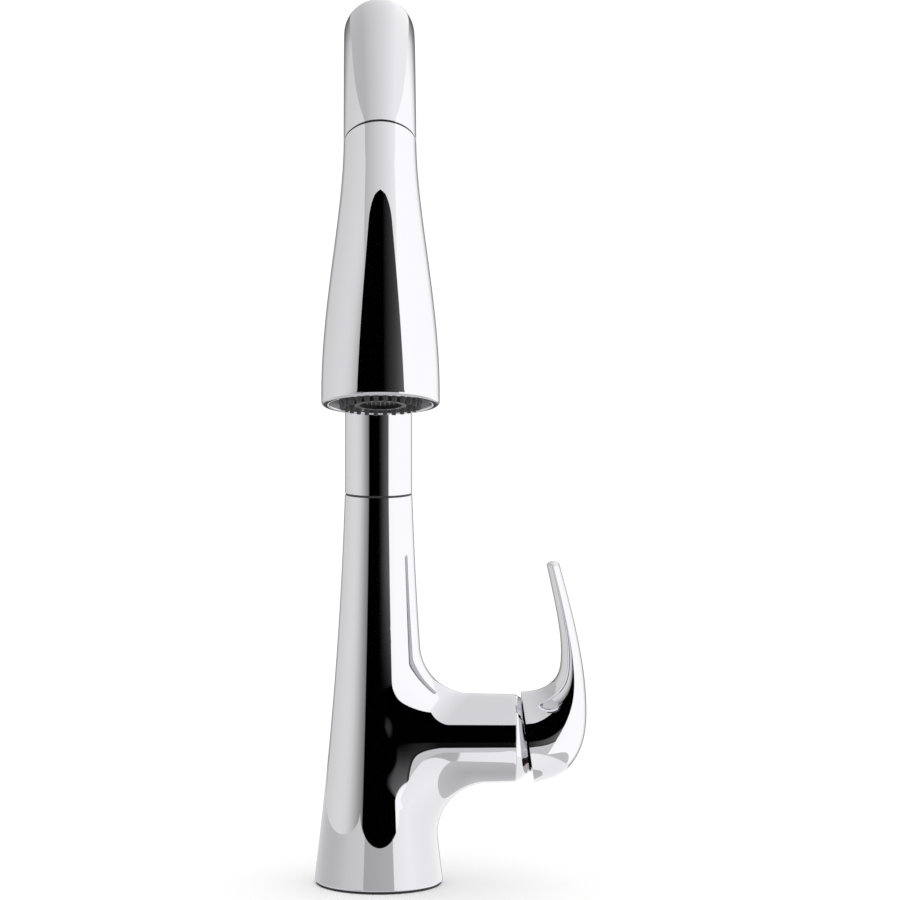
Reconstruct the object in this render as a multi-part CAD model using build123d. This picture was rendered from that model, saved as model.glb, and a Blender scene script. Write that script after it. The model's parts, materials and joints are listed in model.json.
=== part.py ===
"""A single-lever, side-mounted, pull-down kitchen faucet, as an assembly of its real pieces.

Millimetres, +Z up. The origin is where the body's axis meets the deck: z = 0 is the underside of
the base gasket. The spout reaches out along -Y and the lever stands on the +X side.
Above the deck: a flared body with a side boss, a high swivelling spout and a curved spray head.
Inside: a hose through the spout, a brass valve core and a ceramic-disc cartridge in the boss.
Below the deck: a threaded shank with its washers and clamping nut.
"""

from build123d import *
import math
import os

os.makedirs("parts", exist_ok=True)

# ---- clearances ----
RUN = 0.05  # running clearance on a radius
SLIP = 0.1  # assembly clearance on a radius between pieces of one body
GAP = 0.3  # open gap between pieces that move past each other

# ---- body ----
BODY_TOP = 167.2  # height of the body's upper rim
BODY_TOP_R = 14.3
BODY_WAIST_R = 18.95  # radius at half height
BODY_BASE_R = 27.65
BODY_WALL = 2.4
FLOOR_T = 9.0  # thickness of the floor that the shank screws into
FOOT_ROUND = 1.0
GASKET_T = 0.8
GASKET_INSET = 0.8  # how far the gasket stays inside the body's foot

# ---- side boss and valve core ----
BOSS_Z = 62.3  # height of the boss axis
BOSS_END_X = 58.4
BOSS_END_R = 18.8
BOSS_TAPER = 1.0  # how much wider the boss is at the body's axis
BOSS_BLEND = 22.0  # radius of the blend between the boss and the body
BOSS_BORE_R = 16.1
CORE_BACK_X = -9.0
CORE_FLAT_DROP = 6.3  # how far below the boss axis the core's flat underside lies
CORE_FLAT_END_X = 17.5
SEAT_X = 26.0  # plane where the cartridge seats
PORT_RING_R = 10.8  # distance of the three water ports from the body's axis
PORT_THREAD_R = 4.0
PORT_THREAD_LENGTH = 10.0
PORT_OUTER_R = 5.0
PORT_LENGTH = 14.0
SPIGOT_R = 3.6
SPIGOT_LENGTH = 5.0
CHANNEL_R = 2.2

# ---- cartridge ----
CARTRIDGE_R = 13.9
CARTRIDGE_END_X = 49.0
SEAL_T = 1.2
CARTRIDGE_BASE_T = 2.5
FIXED_DISC_T = 2.5
MOVING_DISC_T = 2.2
MOVING_DISC_R = 8.8
CHAMBER_R = 11.6
LID_T = 3.0
CARRIER_NECK_R = 9.45
CARRIER_SLOT_HALF_Y = 4.5
CARRIER_SLOT_HALF_Z = 7.4

# ---- lever ----
PIVOT_X = 49.5  # the lever tilts about this point of the boss axis
REST_TILT = 8.5  # the closed lever's stem points this far above the boss axis, degrees
OPEN_TILT = 25.0  # how far the lever opens, degrees
DOME_R = 20.6  # spherical cover around the pivot
DOME_T = 1.6
DOME_OPENING_R = 11.8
CAVITY_R = 21.3  # the lever's hollow rides over the dome
LEVER_TIP_WIDTH = 15.0
STEM_SIDE = 7.0
STEM_LENGTH = 30.5  # from the pivot to the stem's outer end
TAIL_LENGTH = 5.5  # from the pivot to the ball that drives the upper disc
TAIL_R = 2.2
PIN_R = 1.5
SCREW_R = 2.4
SCREW_AT = 23.0  # distance of the set screw from the pivot, along the stem

# ---- spout ----
TUBE_R = 14.2
TUBE_WALL = 1.2
ARCH_Z = 295.1  # height where the straight riser ends
ARCH_RADIUS = 68.0
ARCH_TILT = 60.0  # the tight arch ends when the tube points this far from straight down
LEG_RADIUS = 160.0
DOCK_TILT = 42.0  # tilt of the tube's end, where the spray head docks
JOURNAL_R = 11.5  # brass journal below the riser
JOURNAL_BORE_R = 8.5
JOURNAL_BOTTOM = 114.0
BEARING_R = 12.2  # bore of the body around the bushings
BUSHING_LENGTH = 14.0
SHOULDER_Z = 118.0  # underside of the body's bearing bore
WASHER_T = 0.8  # dark washer that shows between the body and the riser
COLLAR_R = 12.1
COLLAR_BORE_R = 9.9
COLLAR_LENGTH = 16.0
COLLAR_FLANGE_R = 13.5

# ---- spray head ----
HEAD_LENGTH = 112.5
FACE_TILT = 16.0  # tilt of the spray face
HEAD_FLARE = 8.4  # how much wider the head is at its face than at its neck
HEAD_FLARE_LENGTH = 108.0
HEAD_WALL = 2.2
HEAD_GAP = 0.8  # gap between the spout's end and the head
RIM_ROUND = 1.4
RIM_INSET = 3.1  # how far the rim's inner edge lies inside the head's outline
RIM_DEPTH = 10.0
FACE_RECESS = 1.2
FACE_T = 4.0
NOZZLE_COUNT = 26
NOZZLE_RING_R = 14.6
NOZZLE_R = 1.25
NOZZLE_HEIGHT = 2.6
NOZZLE_BED = 1.5  # thickness of the ring that the nozzles stand on
AERATOR_R = 10.0
AERATOR_HEIGHT = 5.0
SCREEN_R = 8.1
SCREEN_PITCH = 1.7
SCREEN_BAR = 0.5
STEM_R = 9.6  # tubular stem that plugs into the spout
STEM_IN = 15.0
BLOCK_R = 11.4
BLOCK_LENGTH = 30.0
SWIVEL_R = 7.5  # swivelling collar of the hose's end
SWIVEL_LENGTH = 8.0
DIVERTER_AT = 55.0  # middle of the diverter, down the head
DIVERTER_R = 12.4
DIVERTER_LENGTH = 44.0
BUTTON_AT = 58.0  # middle of the spray button, down the head
BUTTON_LENGTH = 26.0
BUTTON_WIDTH = 13.0
BUTTON_PROUD = 1.0
BUTTON_GAP = 0.5  # open gap round the button in the head's back
BUTTON_SWING = 6.0  # degrees between the button's two positions
BUTTON_PIN_DEPTH = 4.6  # depth of the button's pin below the head's surface
BUTTON_PIN_R = 1.0
SPOOL_R = 2.5
SPOOL_DEPTH = 9.6  # depth of the diverter spool's axis below the head's surface

# ---- hose ----
HOSE_R = 5.5
HOSE_WALL = 1.6
HOSE_INSERT = 11.9  # how far the hose runs past the dock into the head
HOSE_BOTTOM = -66.0
CHANNEL_GAP = 0.4  # clearance of the hose in the valve core

# ---- deck mounting ----
SHANK_R = 16.5  # plain part of the shank, in the deck hole
SHANK_THREAD_R = 16.0  # threaded part below it
SHANK_TOP_R = 16.1  # part that is screwed into the body
SHANK_BORE_R = 15.0
SHANK_BOTTOM = -60.0
DECK_T = 30.0  # worktop thickness that the clamp is drawn for
RUBBER_T = 3.0
PLATE_T = 1.5
NUT_T = 11.0
NUT_R = 24.0
CLAMP_SCREW_R = 2.5
CLAMP_SCREW_LENGTH = 20.0
CLAMP_SCREW_RING_R = 20.4

BODY_BOTTOM = GASKET_T
FLOOR_Z = BODY_BOTTOM + FLOOR_T
SPOUT_BOTTOM = BODY_TOP + WASHER_T
PIVOT = Vector(PIVOT_X, 0, BOSS_Z)
BASE_X = SEAT_X + SEAL_T
FIXED_X = BASE_X + CARTRIDGE_BASE_T
MOVING_X = FIXED_X + FIXED_DISC_T
CARRIAGE_X = MOVING_X + MOVING_DISC_T
LID_X = CARTRIDGE_END_X - LID_T


def save(shape, name):
    """Writes one named piece."""
    shape.label = name
    export_step(shape, f"parts/{name}.step")


def tube_z(z_low, z_high, outer, inner=0.0, x=0.0, y=0.0):
    """An upright cylinder, or a ring if it has an inner radius."""
    return tube_on(Plane(origin=(x, y, 0)), z_low, z_high, outer, inner)


def tube_x(x_low, x_high, outer, inner=0.0, y=0.0, z=BOSS_Z):
    """A cylinder or ring along X, on the boss axis unless placed elsewhere."""
    return tube_on(Plane(origin=(0, y, z), x_dir=(0, 0, -1), z_dir=(1, 0, 0)), x_low, x_high, outer, inner)


def tube_on(plane, low, high, outer, inner=0.0):
    """A cylinder or ring along a plane's own z, from low to high."""
    height = high - low
    solid = plane * Pos(0, 0, low + height / 2) * Cylinder(outer, height)
    if inner > 0:
        solid -= plane * Pos(0, 0, low + height / 2) * Cylinder(inner, height + 2)
    return solid


def box_on(plane, x_span, y_span, z_span):
    """A box in a plane's own frame, from the low and high ends of each side."""
    spans = (x_span, y_span, z_span)
    middle = [(low + high) / 2 for low, high in spans]
    size = [high - low for low, high in spans]
    return plane * Pos(*middle) * Box(*size)


def revolve_z(outline):
    """A solid of revolution about Z, with its seam on the -X side, from edges in (radius, height)."""
    seam = Plane(origin=(0, 0, 0), x_dir=(-1, 0, 0), z_dir=(0, 1, 0))
    return revolve(seam * make_face(outline), Axis.Z)


def revolve_x(outline):
    """A solid of revolution about the boss axis, from edges in (x, radius)."""
    seam = Plane(origin=(0, 0, BOSS_Z), x_dir=(1, 0, 0), z_dir=(0, 1, 0))
    return revolve(seam * make_face(outline), Axis((0, 0, BOSS_Z), (1, 0, 0)))


# ---------------------------------------------------------------- body ----
def body_radius(z):
    """Outer radius of the body at a height: a parabola through its top, waist and foot."""
    height = BODY_TOP - BODY_BOTTOM
    t = (BODY_TOP - z) / height
    waist, foot = BODY_WAIST_R - BODY_TOP_R, BODY_BASE_R - BODY_TOP_R
    return BODY_TOP_R + (4 * waist - foot) * t + 2 * (foot - 2 * waist) * t * t


def body_form(z_low, z_high, offset):
    """The body's round form between two heights, shrunk by an offset."""
    heights = [z_high + (z_low - z_high) * i / 4 for i in range(5)]
    side = Spline([(body_radius(z) - offset, z) for z in heights])
    bottom = Line(side @ 1, (0, z_low))
    axis = Line((0, z_low), (0, z_high))
    return revolve_z([side, bottom, axis, Line((0, z_high), side @ 0)])


def is_boss_root(edge):
    """True for the edge where the boss runs into the body."""
    box = edge.bounding_box()
    upright = box.min.Z > FLOOR_Z and box.max.Z < SHOULDER_Z
    return upright and box.max.X < BOSS_END_X - 5 and box.size.Y > BOSS_END_R


def body_shell():
    """Chromed cast body: a flared tube with a side boss, blended where they meet."""
    trunk = body_form(BODY_BOTTOM, BODY_TOP, 0)
    boss = Cone(BOSS_END_R + BOSS_TAPER, BOSS_END_R, BOSS_END_X)
    shape = trunk + Pos(BOSS_END_X / 2, 0, BOSS_Z) * Rot(0, 90, 0) * Rot(0, 0, 180) * boss
    shape = fillet([e for e in shape.edges() if is_boss_root(e)], BOSS_BLEND)
    foot = shape.edges().filter_by(GeomType.CIRCLE).sort_by(Axis.Z)[0]
    shape = fillet(foot, FOOT_ROUND)
    shape -= body_form(FLOOR_Z, SHOULDER_Z, BODY_WALL)
    shape -= tube_z(SHOULDER_Z - 1, BODY_TOP + 1, BEARING_R)
    shape -= tube_z(BODY_BOTTOM - 1, FLOOR_Z + 1, SHANK_TOP_R + RUN)
    return shape - tube_x(0, BOSS_END_X + 1, BOSS_BORE_R)


def base_gasket():
    """Rubber ring between the body's foot and the deck."""
    return tube_z(0, GASKET_T, BODY_BASE_R - GASKET_INSET, SHANK_R + 1)


def shank():
    """Brass tube that passes through the deck: a plain neck, with threaded ends."""
    shape = tube_z(SHANK_BOTTOM, 0, SHANK_THREAD_R) + tube_z(0.5 - DECK_T, 0, SHANK_R)
    shape += tube_z(-1, FLOOR_Z, SHANK_TOP_R)
    return shape - tube_z(SHANK_BOTTOM - 1, FLOOR_Z + 1, SHANK_BORE_R)


# ---------------------------------------------------------------- valve ----
def port_places():
    """X and Y of the three water ports: mixed outlet, then the two inlets."""
    angles = [math.radians(a) for a in (0, 120, 240)]
    return [(PORT_RING_R * math.cos(a), PORT_RING_R * math.sin(a)) for a in angles]


def channel_places():
    """Y and Z of the three channels where they reach the cartridge."""
    outlet, inlet_a, inlet_b = port_places()
    low, high = BOSS_Z - 2.8, BOSS_Z + 3.7
    return [(outlet[1], low), (inlet_a[1], high), (inlet_b[1], high)]


def valve_core():
    """Brass core in the boss: cartridge chamber, water channels and a way through for the hose."""
    flat_z = BOSS_Z - CORE_FLAT_DROP
    shape = tube_x(CORE_BACK_X, CARTRIDGE_END_X, BOSS_BORE_R - 2 * SLIP)
    shape -= tube_x(SEAT_X, CARTRIDGE_END_X + 1, CARTRIDGE_R + SLIP)
    half = BOSS_BORE_R + 1
    shape -= box_on(Plane.XY, (CORE_BACK_X - 1, CORE_FLAT_END_X), (-half, half), (BOSS_Z - half, flat_z))
    shape -= tube_z(BOSS_Z - half, BOSS_Z + half, HOSE_R + CHANNEL_GAP)
    for (x, y), (_, z) in zip(port_places(), channel_places()):
        shape -= tube_z(flat_z - 1, flat_z + SPIGOT_LENGTH + SLIP, SPIGOT_R + RUN, x=x, y=y)
        shape -= tube_z(flat_z, z, CHANNEL_R, x=x, y=y) if z > flat_z + SPIGOT_LENGTH else []
        shape -= tube_x(x, SEAT_X + 1, CHANNEL_R, y=y, z=z)
    return shape


def port_adapters():
    """The three screwed-in water ports, with female threads for the supply hoses."""
    flat_z = BOSS_Z - CORE_FLAT_DROP
    mouth_z = flat_z - PORT_LENGTH
    ports = []
    for x, y in port_places():
        port = tube_z(mouth_z, flat_z, PORT_OUTER_R, x=x, y=y)
        port += tube_z(flat_z - 1, flat_z + SPIGOT_LENGTH, SPIGOT_R, x=x, y=y)
        port -= tube_z(mouth_z - 1, mouth_z + PORT_THREAD_LENGTH, PORT_THREAD_R, x=x, y=y)
        port -= tube_z(mouth_z, flat_z + SPIGOT_LENGTH + 1, CHANNEL_R, x=x, y=y)
        ports.append(port)
    return Compound(children=[port.solid() for port in ports])


def pierced_disc(x_low, x_high, radius, hole_r):
    """A disc across the boss axis with the three water ways through it."""
    disc = tube_x(x_low, x_high, radius)
    for y, z in channel_places():
        disc -= tube_x(x_low - 1, x_high + 1, hole_r, y=y, z=z)
    return disc


def cartridge_housing():
    """Plastic housing around the discs, with a lid that the stem carrier turns in."""
    shape = tube_x(FIXED_X, CARTRIDGE_END_X, CARTRIDGE_R)
    shape -= tube_x(FIXED_X - 1, LID_X, CHAMBER_R)
    return shape - tube_x(LID_X - 1, CARTRIDGE_END_X + 1, CARRIER_NECK_R + RUN)


def tail_z(tilt):
    """Height of the stem's tail ball when the stem points a tilt above the boss axis."""
    return BOSS_Z - TAIL_LENGTH * math.sin(math.radians(tilt))


def moving_disc():
    """Upper ceramic disc, which slides on the fixed one."""
    disc = tube_x(MOVING_X, CARRIAGE_X, MOVING_DISC_R, z=tail_z(REST_TILT))
    return disc - tube_x(MOVING_X - 1, MOVING_X + 1.2, MOVING_DISC_R - 4, z=tail_z(REST_TILT))


def disc_carriage():
    """Plastic carriage on the upper disc, with a socket for the stem's tail."""
    z = tail_z(REST_TILT)
    socket_x = PIVOT_X - TAIL_LENGTH - TAIL_R - 1
    shape = tube_x(CARRIAGE_X, CARRIAGE_X + 2.4, MOVING_DISC_R, z=z)
    shape += tube_x(CARRIAGE_X + 1, PIVOT_X - TAIL_LENGTH - 0.6, TAIL_R + GAP + 1.4, z=z)
    return shape - tube_x(socket_x, PIVOT_X, TAIL_R + GAP, z=z)


def stem_carrier():
    """Turning carrier that holds the stem's pin, kept under the housing's lid by its flange."""
    half_y, half_z = CARRIER_SLOT_HALF_Y, CARRIER_SLOT_HALF_Z
    flange_x = LID_X - GAP - 2.2
    shape = tube_x(flange_x, LID_X - GAP, CHAMBER_R - 0.4)
    shape += tube_x(flange_x, PIVOT_X + PIN_R + 1.2, CARRIER_NECK_R)
    slot = ((flange_x - 1, PIVOT_X + 5), (-half_y, half_y), (BOSS_Z - half_z, BOSS_Z + half_z))
    return shape - box_on(Plane.XY, *slot) - stem_pin_form(CARRIER_NECK_R + 1, PIN_R + RUN)


def stem_pin_form(half_length, radius):
    """A cylinder along Y through the lever's pivot."""
    return Pos(PIVOT) * Rot(90, 0, 0) * Cylinder(radius, 2 * half_length)


def stem_plane():
    """Plane at the pivot whose z runs outward along the closed lever's stem; its y is +Y."""
    tilt = math.radians(REST_TILT)
    x_dir = (math.sin(tilt), 0, -math.cos(tilt))
    return Plane(origin=PIVOT, x_dir=x_dir, z_dir=(math.cos(tilt), 0, math.sin(tilt)))


def lever_stem():
    """Steel stem: a square shaft outward, a bored eye on the pin and a ball tail inward."""
    plane, half = stem_plane(), STEM_SIDE / 2
    shape = box_on(plane, (-half, half), (-half, half), (1, STEM_LENGTH))
    shape += stem_pin_form(CARRIER_SLOT_HALF_Y - GAP, 3.4)
    shape += tube_on(plane, -TAIL_LENGTH, 0, TAIL_R - 0.5)
    shape += plane * Pos(0, 0, -TAIL_LENGTH) * Sphere(TAIL_R)
    return shape - stem_pin_form(2 * CARRIER_NECK_R, PIN_R + RUN)


def cartridge_nut():
    """Brass ring that is screwed into the boss and holds the cartridge down."""
    return tube_x(CARTRIDGE_END_X, CARTRIDGE_END_X + 5.5, BOSS_BORE_R - RUN, CARRIER_NECK_R + 0.55)


def hot_limit_ring():
    """Plastic ring in the nut's mouth that limits the hottest setting."""
    x_high = CARTRIDGE_END_X + 5.3
    return tube_x(x_high - 2, x_high, CARRIER_NECK_R + 0.55 - SLIP, CARRIER_NECK_R - 2)


def dome_ring():
    """Chromed ring with a spherical face that the lever's cup swings over, and a threaded skirt."""
    skirt_x, skirt_r, skirt_bore = CARTRIDGE_END_X + 5.6, BOSS_BORE_R - RUN, BOSS_BORE_R - 1.5
    root = math.sqrt(DOME_R**2 - (BOSS_END_X - PIVOT_X) ** 2)
    outer = ball_arc(DOME_R, root, DOME_OPENING_R)
    inner = ball_arc(DOME_R - DOME_T, DOME_OPENING_R, skirt_bore)
    back = Polyline(inner @ 1, (skirt_x, skirt_bore), (skirt_x, skirt_r), (BOSS_END_X, skirt_r), outer @ 0)
    return revolve_x([outer, Line(outer @ 1, inner @ 0), inner, back])


def ball_arc(radius, from_r, to_r):
    """Arc about the pivot, in (x, radius), between two distances from the boss axis."""
    start, end = math.asin(from_r / radius), math.asin(to_r / radius)
    angles = (start, (start + end) / 2, end)
    points = [(PIVOT_X + radius * math.cos(a), radius * math.sin(a)) for a in angles]
    return ThreePointArc(*points)


# ---------------------------------------------------------------- lever ----
def lever_edges():
    """The lever's inner and outer side, seen along Y, as offsets from the pivot."""
    inner = [(11.2, 19.8), (20.2, 21.5), (26.3, 26.6), (28.2, 35.6), (25.7, 57.4), (21.8, 75.4)]
    outer = [(16.9, -19.1), (29.1, -14.4), (36.5, -4.5), (39.1, 13.8), (36.1, 39.4), (27.1, 75.8)]
    return Spline(inner), Spline(outer)


def lever_section(inner, outer, s):
    """Elliptical section of the lever at a fraction s of its length, from cup to tip."""
    start, end = inner @ s, outer @ (s**0.63)
    along = end - start
    middle = PIVOT + Vector((start.X + end.X) / 2, 0, (start.Y + end.Y) / 2)
    cup_width = (outer @ 0 - inner @ 0).length
    fall = 1 - (1 - s) ** 2.2
    width = cup_width + (LEVER_TIP_WIDTH - cup_width) * fall
    plane = Plane(origin=middle, x_dir=(along.X, 0, along.Y), z_dir=(-along.Y, 0, along.X))
    return plane * Ellipse(along.length / 2, width / 2)


def lever_form():
    """The lever's outer form, from the round cup to the thin tip."""
    inner, outer = lever_edges()
    stations = (0, 0.1, 0.2, 0.32, 0.46, 0.62, 0.8, 1)
    return loft([lever_section(inner, outer, s) for s in stations])


def screw_plane():
    """Plane on the stem's axis at the set screw, whose z runs out through the lever's back."""
    return Plane(origin=stem_plane().origin + SCREW_AT * stem_plane().z_dir, z_dir=(0, 1, 0))


def handle():
    """Chromed cast lever: a cup over the dome that sweeps up into a thin blade."""
    half = STEM_SIDE / 2 + SLIP
    shape = lever_form() - Pos(PIVOT) * Rot(0, 0, 180) * Sphere(CAVITY_R)
    shape -= box_on(stem_plane(), (-half, half), (-half, half), (0, STEM_LENGTH + 0.5))
    return shape - tube_on(screw_plane(), 0, 40, SCREW_R + SLIP)


def set_screw():
    """Grub screw that clamps the lever onto the square stem."""
    tip = STEM_SIDE / 2 + RUN
    socket = extrude(RegularPolygon(1.2, 6), 3)
    return tube_on(screw_plane(), tip, tip + 6, SCREW_R) - screw_plane() * Pos(0, 0, tip + 3.5) * socket


def index_plug():
    """Small plug that hides the set screw."""
    return tube_on(screw_plane(), 11, 15.2, SCREW_R)


# ---------------------------------------------------------------- spout ----
def spout_line(start_z, past_dock=0.0):
    """Centreline of the riser, the arch and the leg, with an optional straight end past the dock."""
    riser = Line((0, start_z), (0, ARCH_Z))
    arch = JernArc(riser @ 1, riser % 1, ARCH_RADIUS, 180 - ARCH_TILT)
    leg = JernArc(arch @ 1, arch % 1, LEG_RADIUS, ARCH_TILT - DOCK_TILT)
    line = [riser, arch, leg]
    if past_dock > 0:
        line.append(Line(leg @ 1, leg @ 1 + past_dock * (leg % 1)))
    return Plane.YZ * Wire(line)


def swept_tube(line, outer, inner):
    """A round tube along a centreline that starts straight up."""
    start = Plane(origin=line @ 0, z_dir=(0, 0, 1))
    return sweep(start * (Circle(outer) - Circle(inner)), path=line)


def spout_hub():
    """Brass journal below the riser, which turns in the body's bushings."""
    shape = tube_z(JOURNAL_BOTTOM, SPOUT_BOTTOM + 1, JOURNAL_R)
    shape += tube_z(SPOUT_BOTTOM, SPOUT_BOTTOM + 12, TUBE_R - TUBE_WALL - RUN)
    shape -= tube_z(JOURNAL_BOTTOM - 1, SPOUT_BOTTOM + 13, JOURNAL_BORE_R)
    groove_z = SHOULDER_Z - GAP - 1.5
    return shape - tube_z(groove_z, groove_z + 1.5, JOURNAL_R + 1, JOURNAL_R - 0.8)


def spout_clip():
    """Spring clip in the journal's groove that keeps the spout from lifting."""
    top = SHOULDER_Z - GAP
    ring = tube_z(top - 1.4, top, JOURNAL_R + 1.8, JOURNAL_R - 0.7)
    return ring - box_on(Plane.XY, (-3, 3), (0, 2 * JOURNAL_R), (top - 3, top + 1))


def swivel_bushings():
    """The two nylon bushings that the journal turns in."""
    low, high = SHOULDER_Z, BODY_TOP - 0.2
    inner, outer = JOURNAL_R + RUN, BEARING_R - RUN
    lower = tube_z(low, low + BUSHING_LENGTH, outer, inner)
    upper = tube_z(high - BUSHING_LENGTH, high, outer, inner)
    return Compound(children=[lower.solid(), upper.solid()])


def swivel_washer():
    """Dark washer between the body's rim and the riser."""
    return tube_z(BODY_TOP, SPOUT_BOTTOM, TUBE_R - 0.2, JOURNAL_R + 0.4)


# ----------------------------------------------------------- spray head ----
DOCK = spout_line(0) @ 1


def head_point(u):
    """Point of the head's centreline, an arc that carries on from the spout's end."""
    radius = HEAD_LENGTH / math.radians(DOCK_TILT - FACE_TILT)
    start, now = math.radians(DOCK_TILT), math.radians(head_tilt(u))
    forward = radius * (math.cos(now) - math.cos(start))
    down = radius * (math.sin(start) - math.sin(now))
    return Vector(0, DOCK.Y - forward, DOCK.Z - down)


def head_tilt(u):
    """Tilt of the head's centreline at a distance u below the dock, in degrees from straight down."""
    return DOCK_TILT - (DOCK_TILT - FACE_TILT) * u / HEAD_LENGTH


def head_plane(u):
    """Plane across the head at u: its z runs down the head, its x is X, and its y faces forward."""
    tilt = math.radians(head_tilt(u))
    return Plane(origin=head_point(u), x_dir=(1, 0, 0), z_dir=(0, -math.sin(tilt), -math.cos(tilt)))


def head_radius(u):
    """Outer radius of the head: an S-shaped flare from the tube's radius to the face."""
    t = min(max(u / HEAD_FLARE_LENGTH, 0.0), 1.0)
    return TUBE_R + HEAD_FLARE * t * t * (3 - 2 * t)


def head_form(u_low, u_high, offset, count=9):
    """The head's round form between two stations, shrunk by an offset."""
    steps = [u_low + (u_high - u_low) * i / (count - 1) for i in range(count)]
    return loft([head_plane(u) * Circle(head_radius(u) - offset) for u in steps])


DOCK_PLANE = head_plane(0)
FACE_PLANE = head_plane(HEAD_LENGTH)
FACE_R = head_radius(HEAD_LENGTH) - RIM_INSET


def dock_collar():
    """Nylon collar in the spout's end that the head's stem plugs into."""
    shape = tube_on(DOCK_PLANE, -COLLAR_LENGTH, 0.5, COLLAR_R)
    shape += tube_on(DOCK_PLANE, 0, HEAD_GAP - GAP, COLLAR_FLANGE_R)
    shape -= tube_on(DOCK_PLANE, -COLLAR_LENGTH - 1, 2, COLLAR_BORE_R)
    return shape - tube_on(DOCK_PLANE, -COLLAR_LENGTH - 1, -9, COLLAR_R - 0.5, COLLAR_BORE_R + 0.5)


def dock_magnet():
    """Ring magnet in the collar that holds the head home."""
    outer, inner = COLLAR_R - 0.5 - RUN, COLLAR_BORE_R + 0.5 + RUN
    return tube_on(DOCK_PLANE, -COLLAR_LENGTH + 0.5, -9.1, outer, inner)


def spray_hose():
    """Braided hose from the head's swivel down through the spout, the body and the shank."""
    return swept_tube(spout_line(HOSE_BOTTOM, HOSE_INSERT), HOSE_R, HOSE_R - HOSE_WALL)


def hose_connector():
    """Brass end of the hose, with a collar that swivels in the head."""
    shape = tube_on(DOCK_PLANE, -8, HOSE_INSERT + 1, HOSE_R - HOSE_WALL - GAP)
    shape += tube_on(DOCK_PLANE, HOSE_INSERT + 0.1, HOSE_INSERT + 0.1 + SWIVEL_LENGTH, SWIVEL_R)
    shape -= tube_on(DOCK_PLANE, -9, HOSE_INSERT + SWIVEL_LENGTH + 1, 2.4)
    return shape - seal_groove(SWIVEL_R + 1)


def seal_groove(outer):
    """The groove around the swivel collar, out to a radius."""
    middle = HOSE_INSERT + 0.1 + SWIVEL_LENGTH / 2
    return tube_on(DOCK_PLANE, middle - 1, middle + 1, outer, SWIVEL_R - 1.3)


def connector_seal():
    """O-ring in the swivel collar's groove, flattened where it would meet the bore."""
    middle = HOSE_INSERT + 0.1 + SWIVEL_LENGTH / 2
    return DOCK_PLANE * Pos(0, 0, middle) * Torus(SWIVEL_R - 0.75, 0.5)


def hose_ferrule():
    """Crimped sleeve around the hose's end."""
    return tube_on(DOCK_PLANE, -1, HOSE_INSERT, HOSE_R + 0.8, HOSE_R + RUN)


def head_shell():
    """Chromed spray head: a curved flared tube, rounded at its rim."""
    shape = head_form(HEAD_GAP, HEAD_LENGTH, 0)
    shape = fillet(shape.faces().sort_by(Axis.Z)[0].edges(), RIM_ROUND)
    shape -= head_form(0, HEAD_LENGTH - RIM_DEPTH, HEAD_WALL)
    shape -= tube_on(FACE_PLANE, -RIM_DEPTH - 1, 2, FACE_R)
    return shape - button_form(-BUTTON_GAP, 3 * HEAD_WALL)


def button_form(inset, depth):
    """A rounded block through the head's back at the button, shrunk by an inset."""
    plane = head_plane(BUTTON_AT)
    radius = head_radius(BUTTON_AT)
    outline = RectangleRounded(BUTTON_WIDTH - 2 * inset, BUTTON_LENGTH - 2 * inset, 4)
    back = Plane(origin=plane.origin - (radius - depth) * plane.y_dir, x_dir=plane.x_dir, z_dir=-plane.y_dir)
    return extrude(back * outline, depth + 6)


def head_core():
    """Plastic core at the head's neck: the stem that plugs into the spout and the swivel's bore."""
    shape = tube_on(DOCK_PLANE, -STEM_IN, HEAD_GAP + 2, STEM_R)
    shape += tube_on(DOCK_PLANE, HEAD_GAP + 0.4, BLOCK_LENGTH, BLOCK_R)
    shape -= tube_on(DOCK_PLANE, -STEM_IN - 1, HOSE_INSERT + SWIVEL_LENGTH + 0.4, SWIVEL_R + RUN)
    shape -= tube_on(DOCK_PLANE, 5, BLOCK_LENGTH + 1, 5.4)
    return shape - clip_slot(0, 1.1)


def clip_slot(inset, thickness):
    """Annular slot above the swivel collar."""
    return tube_on(DOCK_PLANE, HOSE_INSERT - 1.4 + inset, HOSE_INSERT - 1.4 + thickness, 8.7 - inset, 6.7)


def swivel_clip():
    """Clip that keeps the hose's end in the head."""
    ring = clip_slot(0.05, 1.05)
    return ring - box_on(DOCK_PLANE, (-2.5, 2.5), (0, 12), (5, 15))


def check_valve():
    """Non-return valve below the hose's end."""
    low = HOSE_INSERT + SWIVEL_LENGTH + 1
    return tube_on(DOCK_PLANE, low, BLOCK_LENGTH - 0.5, 5.3, 2.6)


def diverter_body():
    """Plastic block that holds the diverter's spool and the button's pin."""
    plane, half = head_plane(DIVERTER_AT), DIVERTER_LENGTH / 2
    shape = tube_on(plane, -half, half, DIVERTER_R)
    shape -= box_on(head_plane(BUTTON_AT), (-4.1, 4.1), (-30, -spool_height() + 1.4), (-9, 9))
    for side in (-1, 1):
        span = sorted((side * 4.1, side * 5.8))
        pin_y = -head_radius(BUTTON_AT) + BUTTON_PIN_DEPTH
        shape += box_on(head_plane(BUTTON_AT), span, (pin_y - 1.5, pin_y + 5), (-2.4, 2.4))
    shape -= button_pin_form(7, BUTTON_PIN_R + RUN)
    shape -= spool_form(SPOOL_R + RUN, 17)
    return shape - tube_on(plane, -half - 1, half + 1, 3)


def spool_height():
    """Distance of the spool's axis from the head's centreline at the button."""
    return head_radius(BUTTON_AT) - SPOOL_DEPTH


def spool_form(radius, half_length):
    """A cylinder along the spool's axis."""
    plane = head_plane(BUTTON_AT)
    axis = Plane(origin=plane.origin - spool_height() * plane.y_dir, x_dir=plane.x_dir, z_dir=plane.z_dir)
    return tube_on(axis, -half_length, half_length, radius)


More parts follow.
